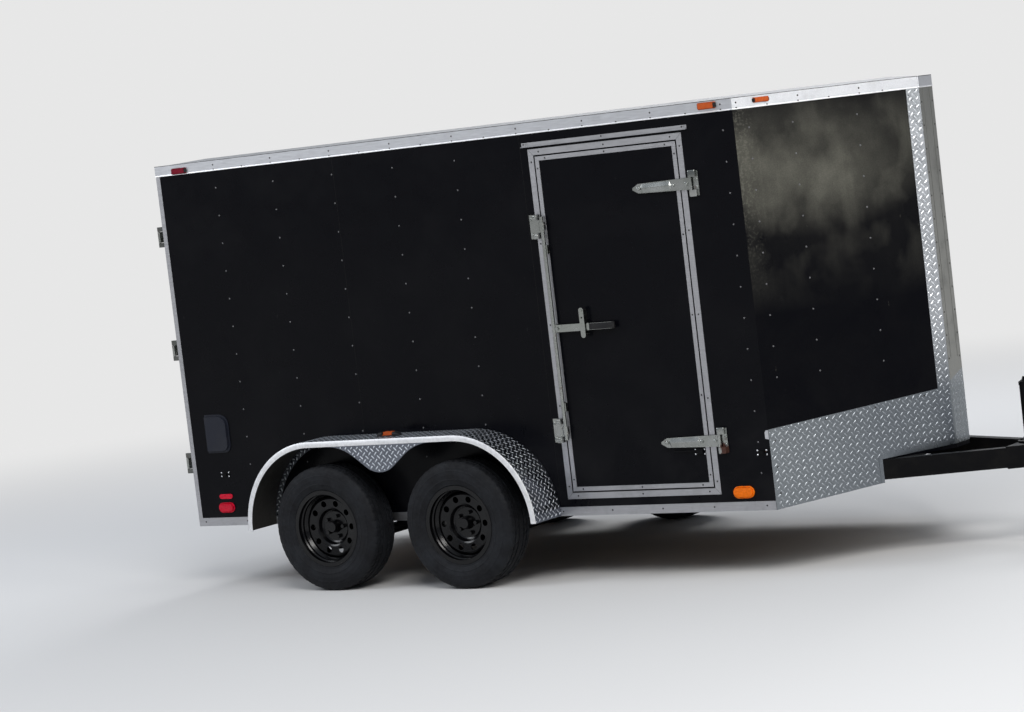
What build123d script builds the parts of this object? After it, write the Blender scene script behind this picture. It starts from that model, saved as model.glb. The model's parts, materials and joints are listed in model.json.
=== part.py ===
"""Enclosed V-nose cargo trailer with two axles, a side door and two rear barn doors.

Millimetres. +X is forward to the coupler, -Y is the right-hand (kerb) side, +Z is up.
The origin is on the floor, at the middle of the trailer's length and width, and the
trailer stands level on its four tyres and its tongue jack.
"""
import os
from math import atan2, cos, degrees, radians, sin, sqrt, tan

from build123d import *

# Body box, measured over the skin
body_length = 3736
body_width = 1850
nose_depth = 590
nose_flat = 148
skirt_z = 340
side_height = 2040
wall_t = 38
skin_t = 2
roof_t = 43
roof_crown = 14
deck_t = 19

# Ladder frame and tongue
frame_bottom = 358
frame_depth = 102
rail_width = 51
crossmember_width = 38
crossmember_depth = 76
crossmember_pitch = 406.4
arm_bottom = 398
arm_depth = 100
arm_width = 51
arm_angle = 25
arm_crossing_x = 382
arm_crossing_y = 407
arm_end_x = 1115
tongue_reach = 1274
ball_setback = 62

# Running gear
hub_z = 340
tyre_radius = 340
tyre_width = 205
tyre_gap = 18.5
axle_spacing = 880
axle_mid_x = 1505
rim_radius = 190.5
rim_flange = 17.5
rim_width = 172
rim_hole_circle = 131
rim_hole_r = 17
axle_drop = 100
axle_tube_r = 30
spindle_r = 20
spring_half = 330
spring_width = 44
spring_inset = 35
leaf_t = 7
spring_eye_z = 325

# Fenders
fender_length = 1902
fender_radius = 475
fender_width = 245
fender_t = 3
fender_lip = 30
fender_mid_x = 1507
skirt_half = 345
skirt_drop = 147
skirt_slope = 37
skirt_tip_r = 150

# Side door, its opening and hardware
door_set_back = 304
door_frame_z = 427
door_frame_width = 920
door_headroom = 140
door_strip = 32
door_gap = 7
door_t = 32
door_trim = 23
trim_t = 3
hinge_pin_ahead = 30
hinge_pin_out = 16
pin_r = 5
knuckle_r = 9
butt_height = 125
strap_width = 60
strap_reach = 340
side_hinge_inset = (232, 217)
lock_bar_ahead = 50
lock_keeper_inset = (321, 358)
lock_handle_z = 1314
handle_length = 346
handle_grip = 156
holdback_behind = 96
holdback_z = 616
wall_bracket_inset = (233, 46)

# Rear frame and barn doors
post_width = 53
post_depth = 50
header_height = 71
rear_gap = 7
centre_gap = 8
rear_pin_out = 40
rear_pin_inset = 12
rear_hinge_inset = (221, 280)
rear_bar_y = 110
rear_handle_z = 1100

# Trims
roof_trim_height = 60
roof_trim_t = 2.5
rail_trim_height = 46
guard_t = 2
guard_height = 400
guard_rise = 0.072
notch_gap = 3.2
notch_rise = 22
nose_strip = 75
front_guard_z = (841, 889)
corner_trim = 28
notch_flange = 20

# Jack
jack_x = 961
jack_tube_r = 28.5
jack_bore_r = 25
jack_leg_r = 24
jack_top_z = 791
jack_bottom_z = 420
jack_travel = 240
foot_r = 62
foot_t = 8

# Places worked out from the sizes above
rear_reach = rear_pin_out + knuckle_r + 2
overall_length = rear_reach + body_length + tongue_reach
x_rear = -overall_length / 2 + rear_reach
x_v = x_rear + body_length
x_nose = x_v + nose_depth
half = body_width / 2
roof_z = skirt_z + side_height
roof_edge_z = roof_z - 2
spring_y = half - spring_inset
wall_top = roof_edge_z - roof_t
frame_top = frame_bottom + frame_depth
arm_top = arm_bottom + arm_depth
deck_top = frame_top + deck_t
v_angle = degrees(atan2(half - nose_flat / 2, nose_depth))
v_length = sqrt(nose_depth**2 + (half - nose_flat / 2) ** 2)
wheel_y = half + tyre_gap + tyre_width / 2
rear_axle_x = x_rear + axle_mid_x - axle_spacing / 2
front_axle_x = x_rear + axle_mid_x + axle_spacing / 2
frame_x1 = x_v - door_set_back
frame_x0 = frame_x1 - door_frame_width
frame_z1 = roof_z - door_headroom
leaf_x0 = frame_x0 + door_strip + door_gap
leaf_x1 = frame_x1 - door_strip - door_gap
leaf_z0 = door_frame_z + door_strip + door_gap
leaf_z1 = frame_z1 - door_strip - door_gap
side_hinge_z = (leaf_z0 + side_hinge_inset[0], leaf_z1 - side_hinge_inset[1])
lock_keeper_z = (leaf_z0 + lock_keeper_inset[0], leaf_z1 - lock_keeper_inset[1])
pin_x = frame_x1 + hinge_pin_ahead
pin_y = -half - hinge_pin_out
rear_pin_x = x_rear - rear_pin_out
rear_pin_y = half - rear_pin_inset
header_z = wall_top - header_height
rear_hinge_low = deck_top + rear_hinge_inset[0]
rear_hinge_high = header_z - rear_hinge_inset[1]
rear_hinge_z = (rear_hinge_low, (rear_hinge_low + rear_hinge_high) / 2, rear_hinge_high)
step_x = x_v - 25
jack_cx = x_v + jack_x

side_face = Plane(origin=(0, -half, 0), x_dir=(1, 0, 0), z_dir=(0, -1, 0))
left_face = Plane(origin=(0, half, 0), x_dir=(-1, 0, 0), z_dir=(0, 1, 0))
rear_face = Plane(origin=(x_rear, 0, 0), x_dir=(0, -1, 0), z_dir=(-1, 0, 0))
nose_face = Plane(
    origin=(x_v, -half, 0),
    x_dir=(cos(radians(v_angle)), sin(radians(v_angle)), 0),
    z_dir=(sin(radians(v_angle)), -cos(radians(v_angle)), 0),
)
front_face = Plane(origin=(x_nose, 0, 0), x_dir=(0, 1, 0), z_dir=(1, 0, 0))
tail_face = Plane(origin=(x_rear, 0, 0), x_dir=(0, 0, 1), z_dir=(-1, 0, 0))
side_view = Plane(origin=(0, 0, 0), x_dir=(1, 0, 0), z_dir=(0, -1, 0))

os.makedirs("parts", exist_ok=True)


def save(builder, name):
    """Labels a finished piece and writes its STEP file."""
    builder.part.label = name
    export_step(builder.part, f"parts/{name}.step")


def block(x0, x1, y0, y1, z0, z1, mode=Mode.ADD):
    """A box between two corners, in whatever part is being built."""
    with Locations(((x0 + x1) / 2, (y0 + y1) / 2, (z0 + z1) / 2)):
        Box(abs(x1 - x0), abs(y1 - y0), abs(z1 - z0), mode=mode)


def plate(face, u0, u1, v0, v1, n0, n1, mode=Mode.ADD):
    """A box on a face: u and v lie in the face, n stands out of it."""
    with BuildSketch(face.offset(n0)) as outline_sketch:
        with Locations(((u0 + u1) / 2, (v0 + v1) / 2)):
            Rectangle(abs(u1 - u0), abs(v1 - v0))
    extrude(outline_sketch.sketch, amount=n1 - n0, mode=mode)


def sheet(face, points, n0, n1, mode=Mode.ADD):
    """A flat polygon on a face, from n0 to n1 out of it."""
    with BuildSketch(face.offset(n0)) as outline_sketch:
        Polygon(*points, align=None)
    extrude(outline_sketch.sketch, amount=n1 - n0, mode=mode)


def oval(face, u, v, length, height, n0, n1, mode=Mode.ADD):
    """A round-ended form lying along u on a face."""
    with BuildSketch(face.offset(n0)) as oval_sketch:
        with Locations((u, v)):
            SlotOverall(length, height)
    extrude(oval_sketch.sketch, amount=n1 - n0, mode=mode)


def stud(face, u, v, n0, n1, radius, mode=Mode.ADD):
    """A cylinder standing out of a face."""
    with BuildSketch(face.offset(n0)) as stud_sketch:
        with Locations((u, v)):
            Circle(radius)
    extrude(stud_sketch.sketch, amount=n1 - n0, mode=mode)


def prism(points, z0, z1, mode=Mode.ADD):
    """A plan polygon raised from z0 to z1."""
    sheet(Plane.XY, points, z0, z1, mode)


def upright(x, y, z0, z1, radius, mode=Mode.ADD):
    """A vertical cylinder."""
    with Locations((x, y, (z0 + z1) / 2)):
        Cylinder(radius, z1 - z0, mode=mode)


def crosswise(x, z, y0, y1, radius, mode=Mode.ADD):
    """A cylinder along Y."""
    with Locations(Location((x, (y0 + y1) / 2, z), (90, 0, 0))):
        Cylinder(radius, abs(y1 - y0), mode=mode)


def outline(out, x_back):
    """The body's plan, grown by out: six corners from the right rear, forward and round."""
    side = half + out
    corner_x = x_v + out * tan(radians(v_angle / 2))
    front_y = nose_flat / 2 + out * tan(radians((90 - v_angle) / 2))
    return [
        (x_back, -side),
        (corner_x, -side),
        (x_nose + out, -front_y),
        (x_nose + out, front_y),
        (corner_x, side),
        (x_back, side),
    ]


# Along the V, how far the tongue arm's outer face comes through, and the guard's notch before it
arm_slope = tan(radians(arm_angle))
v_sin, v_cos = sin(radians(v_angle)), cos(radians(v_angle))
arm_through = (half - arm_crossing_y - arm_crossing_x * arm_slope) / (v_sin - v_cos * arm_slope)
guard_notch = arm_through - notch_gap

outer = outline(0, x_rear)
inner = outline(-wall_t, x_rear + post_depth)
skin = outline(-skin_t, x_rear)

arm_skew = arm_width / cos(radians(arm_angle))


def arm_y(x):
    """How far the outer face of a tongue arm is from the centre line at x."""
    return arm_crossing_y - (x - x_v - arm_crossing_x) * arm_slope


arm_x1 = x_v + arm_end_x

# Ladder frame: the two long rails, then the end rails, crossmembers and nose tubes
rail_y = half - skin_t
rail_in = rail_y - rail_width
with BuildPart() as frame_rails:
    for side in (-1, 1):
        block(x_rear, x_v, side * rail_y, side * rail_in, frame_bottom, frame_top)
save(frame_rails, "frame_rails")

with BuildPart() as frame_cross:
    for x0 in (x_rear, x_v - rail_width):
        block(x0, x0 + rail_width, -rail_in, rail_in, frame_bottom, frame_top)
    bays = int((body_length - rail_width) // crossmember_pitch)
    for k in range(1, bays):
        x0 = x_rear + k * crossmember_pitch
        block(x0, x0 + crossmember_width, -rail_in, rail_in, frame_top - crossmember_depth, frame_top)
    block(step_x, x_v, -half + wall_t, half - wall_t, frame_top, arm_top)
save(frame_cross, "frame_cross")

with BuildPart() as nose_frame:
    for side in (-1, 1):
        lip = outline(-skin_t, x_v)
        lip_in = outline(-skin_t - rail_width, x_v)
        run = (guard_notch - 14) / v_length
        far = [a + (b - a) * run for a, b in zip(lip[1], lip[2])]
        far_in = [a + (b - a) * run for a, b in zip(lip_in[1], lip_in[2])]
        start = x_v, lip[1][1] + (x_v - lip[1][0]) * tan(radians(v_angle))
        start_in = x_v, lip_in[1][1] + (x_v - lip_in[1][0]) * tan(radians(v_angle))
        corners = [start, far, far_in, start_in]
        prism([(x, -side * y) for x, y in corners], arm_bottom, arm_top)
        cut = [(x_v, arm_y(x_v)), (arm_x1, arm_y(arm_x1)), (arm_x1, 0), (x_v, 0)]
        prism([(x, side * y) for x, y in cut], arm_bottom, arm_top, Mode.SUBTRACT)
save(nose_frame, "nose_frame")

# Tongue arms, from the front rail to the coupler
with BuildPart() as tongue_arms:
    for side in (-1, 1):
        prism(
            [
                (x_v, side * arm_y(x_v)),
                (arm_x1, side * arm_y(arm_x1)),
                (arm_x1, side * (arm_y(arm_x1) - arm_skew)),
                (x_v, side * (arm_y(x_v) - arm_skew)),
            ],
            arm_bottom,
            arm_top,
        )
save(tongue_arms, "tongue_arms")

# Coupler: plates over the arms, a neck that tapers to the ball housing, and the latch on top
ball_x = x_v + tongue_reach - ball_setback
plate_x0 = x_v + jack_x - 62
coupler_t = 6
socket_r = 25.9
housing_r = 44
neck_x0 = arm_x1 - 4
coupler_low = arm_bottom - coupler_t
coupler_top = arm_top + coupler_t
with BuildPart() as coupler_head:
    neck = [(neck_x0, -arm_y(neck_x0)), (ball_x, -housing_r), (ball_x, housing_r), (neck_x0, arm_y(neck_x0))]
    prism(neck, coupler_low, coupler_top)
    oval(Plane.XY, ball_x + (ball_setback - housing_r) / 2, 0, ball_setback + housing_r, 2 * housing_r,
         coupler_low, coupler_top)
    with BuildSketch(side_view.offset(-90)) as profile:
        with BuildLine():
            Polyline(
                (ball_x - 36, coupler_low + 76),
                (arm_x1 + 20, coupler_top),
                (neck_x0, coupler_top),
                (neck_x0, coupler_low),
                (ball_x + ball_setback, coupler_low),
                (ball_x + ball_setback, coupler_low + 34),
            )
            ThreePointArc(
                (ball_x + ball_setback, coupler_low + 34),
                (ball_x + 24, coupler_low + 70),
                (ball_x - 36, coupler_low + 76),
            )
        make_face()
    extrude(profile.sketch, amount=180, mode=Mode.INTERSECT)
    sheet(
        side_view,
        [
            (ball_x - 96, coupler_low + 80),
            (ball_x + 6, coupler_low + 60),
            (ball_x + 14, coupler_low + 76),
            (ball_x + 4, coupler_low + 92),
            (ball_x - 60, coupler_low + 112),
            (ball_x - 122, coupler_low + 132),
            (ball_x - 126, coupler_low + 124),
            (ball_x - 92, coupler_low + 110),
        ],
        -13,
        13,
    )
    crosswise(ball_x - 64, coupler_low + 94, -22, 22, 6)
with BuildPart() as coupler:
    for z0 in (coupler_low, arm_top):
        prism(
            [
                (plate_x0, -arm_y(plate_x0)),
                (neck_x0, -arm_y(neck_x0)),
                (neck_x0, arm_y(neck_x0)),
                (plate_x0, arm_y(plate_x0)),
            ],
            z0,
            z0 + coupler_t,
        )
    add(coupler_head.part)
    for side in (-1, 1):
        cut = [(plate_x0, 0), (plate_x0, arm_y(plate_x0)), (arm_x1, arm_y(arm_x1)), (arm_x1, 0)]
        prism([(x, side * y) for x, y in cut], arm_bottom, arm_top, Mode.SUBTRACT)
    upright(ball_x, 0, coupler_low, arm_bottom + 30, socket_r, Mode.SUBTRACT)
    with Locations((ball_x, 0, arm_bottom + 30)):
        Sphere(socket_r, mode=Mode.SUBTRACT)
    for z0 in (coupler_low, arm_top):
        upright(jack_cx, 0, z0, z0 + coupler_t, jack_tube_r, Mode.SUBTRACT)
save(coupler, "coupler")

# Jack: outer tube with its bolted collar, top cap and crank, and the sliding leg
with BuildPart() as jack_tube:
    upright(jack_cx, 0, jack_bottom_z, jack_top_z, jack_tube_r)
    upright(jack_cx, 0, coupler_top, coupler_top + 10, 62)
    upright(jack_cx, 0, coupler_top + 10, coupler_top + 26, 34)
    for angle in (60, 180, 300):
        bolt_x = jack_cx + 48 * cos(radians(angle))
        bolt_y = 48 * sin(radians(angle))
        with BuildSketch(Plane.XY.offset(coupler_top + 10)) as bolt:
            with Locations((bolt_x, bolt_y)):
                RegularPolygon(9, 6)
        extrude(bolt.sketch, amount=7)
    upright(jack_cx, 0, jack_bottom_z, jack_top_z - 3, jack_bore_r, Mode.SUBTRACT)
save(jack_tube, "jack_tube")

crank_arm = 138
with BuildPart() as jack_crank:
    upright(jack_cx, 0, jack_top_z, jack_top_z + 16, 31)
    with Locations((jack_cx, 0, jack_top_z + 16)):
        Cone(31, 14, 12, align=(Align.CENTER, Align.CENTER, Align.MIN))
    upright(jack_cx, 0, jack_top_z + 20, jack_top_z + 42, 9)
    oval(Plane.XY, jack_cx + crank_arm / 2, 0, crank_arm + 24, 24, jack_top_z + 30, jack_top_z + 36)
    upright(jack_cx + crank_arm, 0, jack_top_z + 36, jack_top_z + 46, 7)
    upright(jack_cx + crank_arm, 0, jack_top_z + 46, jack_top_z + 130, 12)
save(jack_crank, "jack_crank")

with BuildPart() as jack_leg:
    upright(jack_cx, 0, 0, foot_t, foot_r)
    upright(jack_cx, 0, foot_t, foot_t + 30, jack_leg_r + 5)
    upright(jack_cx, 0, foot_t, jack_top_z - jack_travel - 10, jack_leg_r)
save(jack_leg, "jack_leg")

# Floor: plywood deck in the box and a raised one over the tongue arms
with BuildPart() as floor_deck:
    block(x_rear + post_depth, step_x, -half + wall_t, half - wall_t, frame_top, deck_top)
    prism(outline(-wall_t, step_x), arm_top, arm_top + deck_t)
save(floor_deck, "floor_deck")

# Side walls: studs, lining and skin as one panel, with the skin carried down over the frame
for side, name in ((-1, "side_wall_right"), (1, "side_wall_left")):
    with BuildPart() as side_wall:
        x_post = x_rear + post_depth
        prism(
            [
                (x_post, side * half),
                (x_v, side * half),
                (inner[1][0], side * -inner[1][1]),
                (x_post, side * (half - wall_t)),
            ],
            frame_top,
            wall_top,
        )
        block(x_rear + skin_t, x_post, side * (half - skin_t), side * half, frame_top, wall_top)
        block(x_rear + skin_t, x_v, side * (half - skin_t), side * half, skirt_z + 5, frame_top)
        if side < 0:
            plate(
                side_face,
                leaf_x0 - door_gap,
                leaf_x1 + door_gap,
                leaf_z0 - door_gap,
                leaf_z1 + door_gap,
                -wall_t - 1,
                1,
                Mode.SUBTRACT,
            )
    save(side_wall, name)

# Nose walls: the same build along the V, on the raised deck level, skin down over the front
with BuildPart() as nose_wall_right:
    prism([outer[1], outer[2], inner[2], inner[1]], arm_top, wall_top)
    sheet(
        nose_face,
        [
            (3.2, skirt_z + 5),
            (guard_notch - 4, skirt_z + 5 + guard_notch * guard_rise),
            (guard_notch - 4, arm_top),
            (3.2, arm_top),
        ],
        -skin_t,
        0,
    )
save(nose_wall_right, "nose_wall_right")

with BuildPart() as nose_wall_left:
    add(mirror(nose_wall_right.part, about=Plane.XZ))
save(nose_wall_left, "nose_wall_left")

with BuildPart() as nose_front:
    prism([outer[2], outer[3], inner[3], inner[2]], arm_top, wall_top)
save(nose_front, "nose_front")

# Roof: panel on the walls with a low crown
with BuildPart() as roof:
    prism(outer, wall_top, roof_edge_z)
    crown_low = outline(-30, x_rear + 30)
    crown_high = outline(-200, x_rear + 200)
    for points, z in ((crown_low, roof_edge_z), (crown_high, roof_edge_z + roof_crown)):
        with BuildSketch(Plane.XY.offset(z)):
            with BuildLine():
                Polyline(*points, close=True)
            make_face()
    loft()
save(roof, "roof")

# Rear frame: posts, header and sill round the door opening
with BuildPart() as rear_frame:
    x1 = x_rear + post_depth
    for side in (-1, 1):
        block(x_rear, x1, side * (half - skin_t - post_width), side * (half - skin_t), frame_top, wall_top)
    block(x_rear, x1, -half + skin_t, half - skin_t, header_z, wall_top)
    block(x_rear, x1, -half + skin_t, half - skin_t, frame_top, deck_top)
save(rear_frame, "rear_frame")

# Roof trim: an aluminium angle all round the roof edge
with BuildPart() as roof_trim:
    prism(outline(roof_trim_t, x_rear - roof_trim_t), roof_z - roof_trim_height, roof_z)
    prism(outer, roof_z - roof_trim_height, roof_edge_z, Mode.SUBTRACT)
    prism(outline(-28, x_rear + 28), roof_edge_z, roof_z, Mode.SUBTRACT)
save(roof_trim, "roof_trim")

# Side rails: aluminium angles along the bottom of both side walls and up their rear corners
with BuildPart() as side_rails:
    for side in (-1, 1):
        y0, y1 = side * half, side * (half + roof_trim_t)
        block(x_rear, x_v, y0, y1, skirt_z, skirt_z + rail_trim_height)
        block(x_rear, x_v, side * (half - 8), y1, skirt_z, skirt_z + roof_trim_t)
        block(x_rear, x_rear + corner_trim, y0, y1, skirt_z, roof_z - roof_trim_height)
save(side_rails, "side_rails")

# Tread-plate guard round the bottom of the nose, and the strips up its two corners
guard_top = skirt_z + guard_height
strip_e = v_length - nose_strip
trim_low = roof_z - roof_trim_height
with BuildPart() as guard_side:
    sheet(
        nose_face,
        [
            (0, skirt_z),
            (guard_notch, skirt_z + guard_notch * guard_rise),
            (guard_notch, arm_top + 4),
            (v_length, arm_top + notch_rise),
            (v_length, trim_low),
            (strip_e, trim_low),
            (strip_e, guard_top + strip_e * guard_rise),
            (0, guard_top),
        ],
        0,
        guard_t,
    )
    flange_e = guard_notch - notch_flange
    sheet(
        nose_face,
        [
            (flange_e, skirt_z + flange_e * guard_rise),
            (guard_notch, skirt_z + guard_notch * guard_rise),
            (guard_notch, arm_top + 4),
            (v_length - 4, arm_top + notch_rise),
            (v_length - 4, arm_top + notch_rise + notch_flange),
            (flange_e, arm_top + 4 + notch_flange),
        ],
        guard_t,
        guard_t + 1.5,
    )
with BuildPart() as stone_guard:
    add(guard_side.part)
    add(mirror(guard_side.part, about=Plane.XZ))
    sheet(
        front_face,
        [
            (-nose_flat / 2, arm_top + notch_rise),
            (nose_flat / 2, arm_top + notch_rise),
            (nose_flat / 2, front_guard_z[1]),
            (-nose_flat / 2, front_guard_z[0]),
        ],
        0,
        guard_t,
    )
save(stone_guard, "stone_guard")

# Smooth aluminium front above the guard
with BuildPart() as nose_trim:
    sheet(
        front_face,
        [
            (-nose_flat / 2, front_guard_z[0]),
            (nose_flat / 2, front_guard_z[1]),
            (nose_flat / 2, trim_low),
            (-nose_flat / 2, trim_low),
        ],
        0,
        guard_t,
    )
save(nose_trim, "nose_trim")

# Side door frame: four flat strips round the opening, and the drip cap above
with BuildPart() as door_frame:
    plate(side_face, frame_x0, frame_x1, door_frame_z, frame_z1, 0, trim_t)
    plate(
        side_face,
        frame_x0 + door_strip,
        frame_x1 - door_strip,
        door_frame_z + door_strip,
        frame_z1 - door_strip,
        -1,
        trim_t + 1,
        Mode.SUBTRACT,
    )
    plate(side_face, frame_x0 - 34, frame_x1 + 35, frame_z1 + 12, frame_z1 + 35, 0, 2)
    plate(side_face, frame_x0 - 34, frame_x1 + 35, frame_z1 + 12, frame_z1 + 15, 2, 14)
save(door_frame, "door_frame")

# Side door leaf with its edge trim
with BuildPart() as side_door:
    plate(side_face, leaf_x0, leaf_x1, leaf_z0, leaf_z1, -door_t, 0)
    plate(side_face, leaf_x0, leaf_x1, leaf_z0, leaf_z1, 0, trim_t)
    plate(
        side_face,
        leaf_x0 + door_trim,
        leaf_x1 - door_trim,
        leaf_z0 + door_trim,
        leaf_z1 - door_trim,
        0,
        trim_t + 1,
        Mode.SUBTRACT,
    )
save(side_door, "side_door")

# Side door hinges: straps on the leaf, butts with their pins on the wall
strap_n0 = trim_t + 6
strap_t = 5
with BuildPart() as side_door_straps:
    for z in side_hinge_z:
        tip_x = pin_x - strap_reach
        sheet(
            side_face,
            [
                (pin_x, z - strap_width / 2),
                (pin_x, z + strap_width / 2),
                (tip_x + 34, z + strap_width / 2 - 6),
                (tip_x, z + 5),
                (tip_x, z - 5),
                (tip_x + 34, z - strap_width / 2 + 6),
            ],
            strap_n0,
            strap_n0 + strap_t,
        )
        upright(pin_x, pin_y, z - strap_width / 2, z + strap_width / 2, knuckle_r)
        plate(side_face, tip_x + 20, tip_x + 50, z - 15, z + 15, 0, strap_n0)
        plate(side_face, leaf_x1 - door_trim, leaf_x1, z - 20, z + 20, trim_t, strap_n0)
        ridge = leaf_x1 - door_trim - tip_x - 90
        oval(side_face, tip_x + 60 + ridge / 2, z, ridge, 22, strap_n0 + strap_t, strap_n0 + strap_t + 4)
        for x in (tip_x + 35, tip_x + 80 + ridge, pin_x - 24):
            stud(side_face, x, z, strap_n0 + strap_t, strap_n0 + strap_t + 5, 8)
        upright(pin_x, pin_y, z - strap_width, z + strap_width, pin_r + 0.3, Mode.SUBTRACT)
save(side_door_straps, "side_door_straps")

with BuildPart() as door_butts:
    for z in side_hinge_z:
        plate(side_face, pin_x + knuckle_r + 2, pin_x + 41, z - butt_height / 2, z + butt_height / 2, 0, 6)
        for z0, z1 in ((-butt_height / 2, -strap_width / 2 - 2), (strap_width / 2 + 2, butt_height / 2)):
            upright(pin_x, pin_y, z + z0, z + z1, knuckle_r)
            block(pin_x, pin_x + 30, pin_y - 4, -half, z + z0, z + z1)
        upright(pin_x, pin_y, z - butt_height / 2, z + butt_height / 2, pin_r)
save(door_butts, "door_butts")

# Side door bar lock: bar with cams and guides, handle and hasp on the leaf, keepers on the wall
bar_x = frame_x0 + lock_bar_ahead
bar_n = 24
handle_x = bar_x + 20
hasp_length = 155
hasp_width = 28
hasp_mid = 22
hasp_face = Plane(origin=(0, -half, 0), x_dir=(0, 0, 1), z_dir=(0, -1, 0))
with BuildPart() as side_door_lock:
    upright(bar_x, -half - bar_n, lock_keeper_z[0] - 50, lock_keeper_z[1] + 50, 10)
    for z in lock_keeper_z:
        upright(bar_x, -half - bar_n, z - 20, z + 20, 16)
    for z in (lock_keeper_z[0] + 120, lock_handle_z, lock_keeper_z[1] - 120):
        plate(side_face, bar_x - 8, bar_x + 16, z - 22, z + 22, trim_t, bar_n)
    grip_x = handle_x + handle_length - handle_grip
    plate(side_face, handle_x - 20, grip_x, lock_handle_z - 19, lock_handle_z + 19, 19, 25)
    oval(side_face, grip_x + handle_grip / 2 - 8, lock_handle_z, handle_grip + 16, 34, 16, 28)
    stud(side_face, handle_x, lock_handle_z, 25, 32, 9)
    hasp_x = handle_x + 163
    oval(hasp_face, lock_handle_z + hasp_mid, -hasp_x, hasp_length, hasp_width, 32, 37)
    stud(side_face, hasp_x, lock_handle_z + hasp_mid + hasp_length / 2 - 14, 37, 41, 7)
    for z0, z1 in ((-46, -24), (34, 88)):
        plate(side_face, hasp_x - 12, hasp_x + 12, lock_handle_z + z0, lock_handle_z + z1, 0, 32)
    stud(side_face, hasp_x, lock_handle_z + 48, 0, 40, 4.5, Mode.SUBTRACT)
save(side_door_lock, "side_door_lock")

with BuildPart() as door_keepers:
    for z in lock_keeper_z:
        plate(side_face, bar_x - 84, bar_x - 23, z - 62, z + 62, trim_t, trim_t + 5)
        plate(side_face, bar_x - 84, bar_x - 62, z - 62, z + 62, 0, trim_t)
        for z0 in (z - 62, z + 34):
            plate(side_face, bar_x - 50, bar_x - 22, z0, z0 + 28, trim_t + 5, 34)
        for dz in (-40, 40):
            stud(side_face, bar_x - 73, z + dz, trim_t + 5, trim_t + 10, 7)
save(door_keepers, "door_keepers")

# Small screwed brackets on the walls: the side door's hold-back, and one near each rear corner
with BuildPart() as wall_brackets:
    bracket_z = holdback_z + 13
    for face, u in (
        (side_face, x_v - wall_bracket_inset[1]),
        (side_face, x_rear + wall_bracket_inset[0]),
        (left_face, -x_rear - wall_bracket_inset[0]),
    ):
        plate(face, u - 31, u + 31, bracket_z - 14, bracket_z + 14, 0, 3)
        oval(face, u, bracket_z, 26, 14, 3, 12)
save(wall_brackets, "wall_brackets")

# Rear barn doors with their hinge straps and bar locks
leaf_y1 = half - skin_t - post_width - rear_gap
rear_leaf_x = x_rear - 5
with BuildPart() as rear_door_right:
    block(rear_leaf_x, rear_leaf_x + wall_t, -leaf_y1, -centre_gap / 2, deck_top + rear_gap, header_z - rear_gap)
save(rear_door_right, "rear_door_right")
with BuildPart() as rear_door_left:
    add(mirror(rear_door_right.part, about=Plane.XZ))
save(rear_door_left, "rear_door_left")

rear_bar_x = rear_leaf_x - 24
with BuildPart() as rear_door_right_lock:
    for z in rear_hinge_z:
        prism(
            [
                (rear_leaf_x, -leaf_y1 + 290),
                (rear_leaf_x, -leaf_y1 - 6),
                (rear_pin_x + 6, -rear_pin_y - 4),
                (rear_pin_x - 6, -rear_pin_y + 4),
                (rear_leaf_x - 6, -leaf_y1 + 10),
                (rear_leaf_x - 6, -leaf_y1 + 290),
            ],
            z - 30,
            z + 30,
        )
        rear_leaf_face = rear_face.offset(x_rear - rear_leaf_x + 6)
        for y in (-leaf_y1 + 40, -leaf_y1 + 265):
            stud(rear_leaf_face, -y, z, 0, 5, 8)
        upright(rear_pin_x, -rear_pin_y, z - 30, z + 30, knuckle_r)
        upright(rear_pin_x, -rear_pin_y, z - 60, z + 60, pin_r + 0.3, Mode.SUBTRACT)
    upright(rear_bar_x, -rear_bar_y, deck_top - 18, header_z + 52, 12)
    for z in (deck_top - 18, header_z + 18):
        upright(rear_bar_x, -rear_bar_y, z, z + 34, 16)
    guides = (deck_top + 50, rear_handle_z - 140, rear_handle_z + 140, header_z - 514, header_z - 50)
    for z in guides:
        block(rear_bar_x, rear_leaf_x, -rear_bar_y - 18, -rear_bar_y + 18, z - 20, z + 20)
    rear_handle_face = rear_face.offset(x_rear - rear_bar_x + 5)
    oval(rear_handle_face, rear_bar_y + 145, rear_handle_z, 310, 38, 0, 7)
    hasp_y = -rear_bar_y - 190
    for z0, z1 in ((-44, -24), (24, 64)):
        block(rear_bar_x - 16, rear_leaf_x, hasp_y - 12, hasp_y + 12, rear_handle_z + z0, rear_handle_z + z1)
    block(rear_bar_x - 20, rear_bar_x - 16, hasp_y - 13, hasp_y + 13, rear_handle_z - 44, rear_handle_z + 64)
save(rear_door_right_lock, "rear_door_right_lock")
with BuildPart() as rear_door_left_lock:
    add(mirror(rear_door_right_lock.part, about=Plane.XZ))
save(rear_door_left_lock, "rear_door_left_lock")

with BuildPart() as rear_butts:
    for side in (-1, 1):
        for z in rear_hinge_z:
            y = side * rear_pin_y
            block(x_rear - 6, x_rear, y - side * 38, y + side * 9, z - 57, z + 57)
            for z0, z1 in ((-57, -32), (32, 57)):
                block(rear_pin_x, x_rear, y - 9, y + 9, z + z0, z + z1)
                upright(rear_pin_x, y, z + z0, z + z1, knuckle_r)
            upright(rear_pin_x, y, z - 57, z + 57, pin_r)
        for z0, z1 in ((deck_top - 60, deck_top - 10), (header_z + 12, header_z + 56)):
            for y0 in (rear_bar_y - 40, rear_bar_y + 22):
                block(x_rear, x_rear - 36, side * y0, side * (y0 + 18), z0, z1)
save(rear_butts, "rear_butts")

# Fenders: band, outer lip, skirt between the wheels and the flange on the wall
fender_z = skirt_z + 2
fender_x = x_rear + fender_mid_x
fender_face = Plane(origin=(fender_x, -half, fender_z), x_dir=(1, 0, 0), z_dir=(0, -1, 0))


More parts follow.
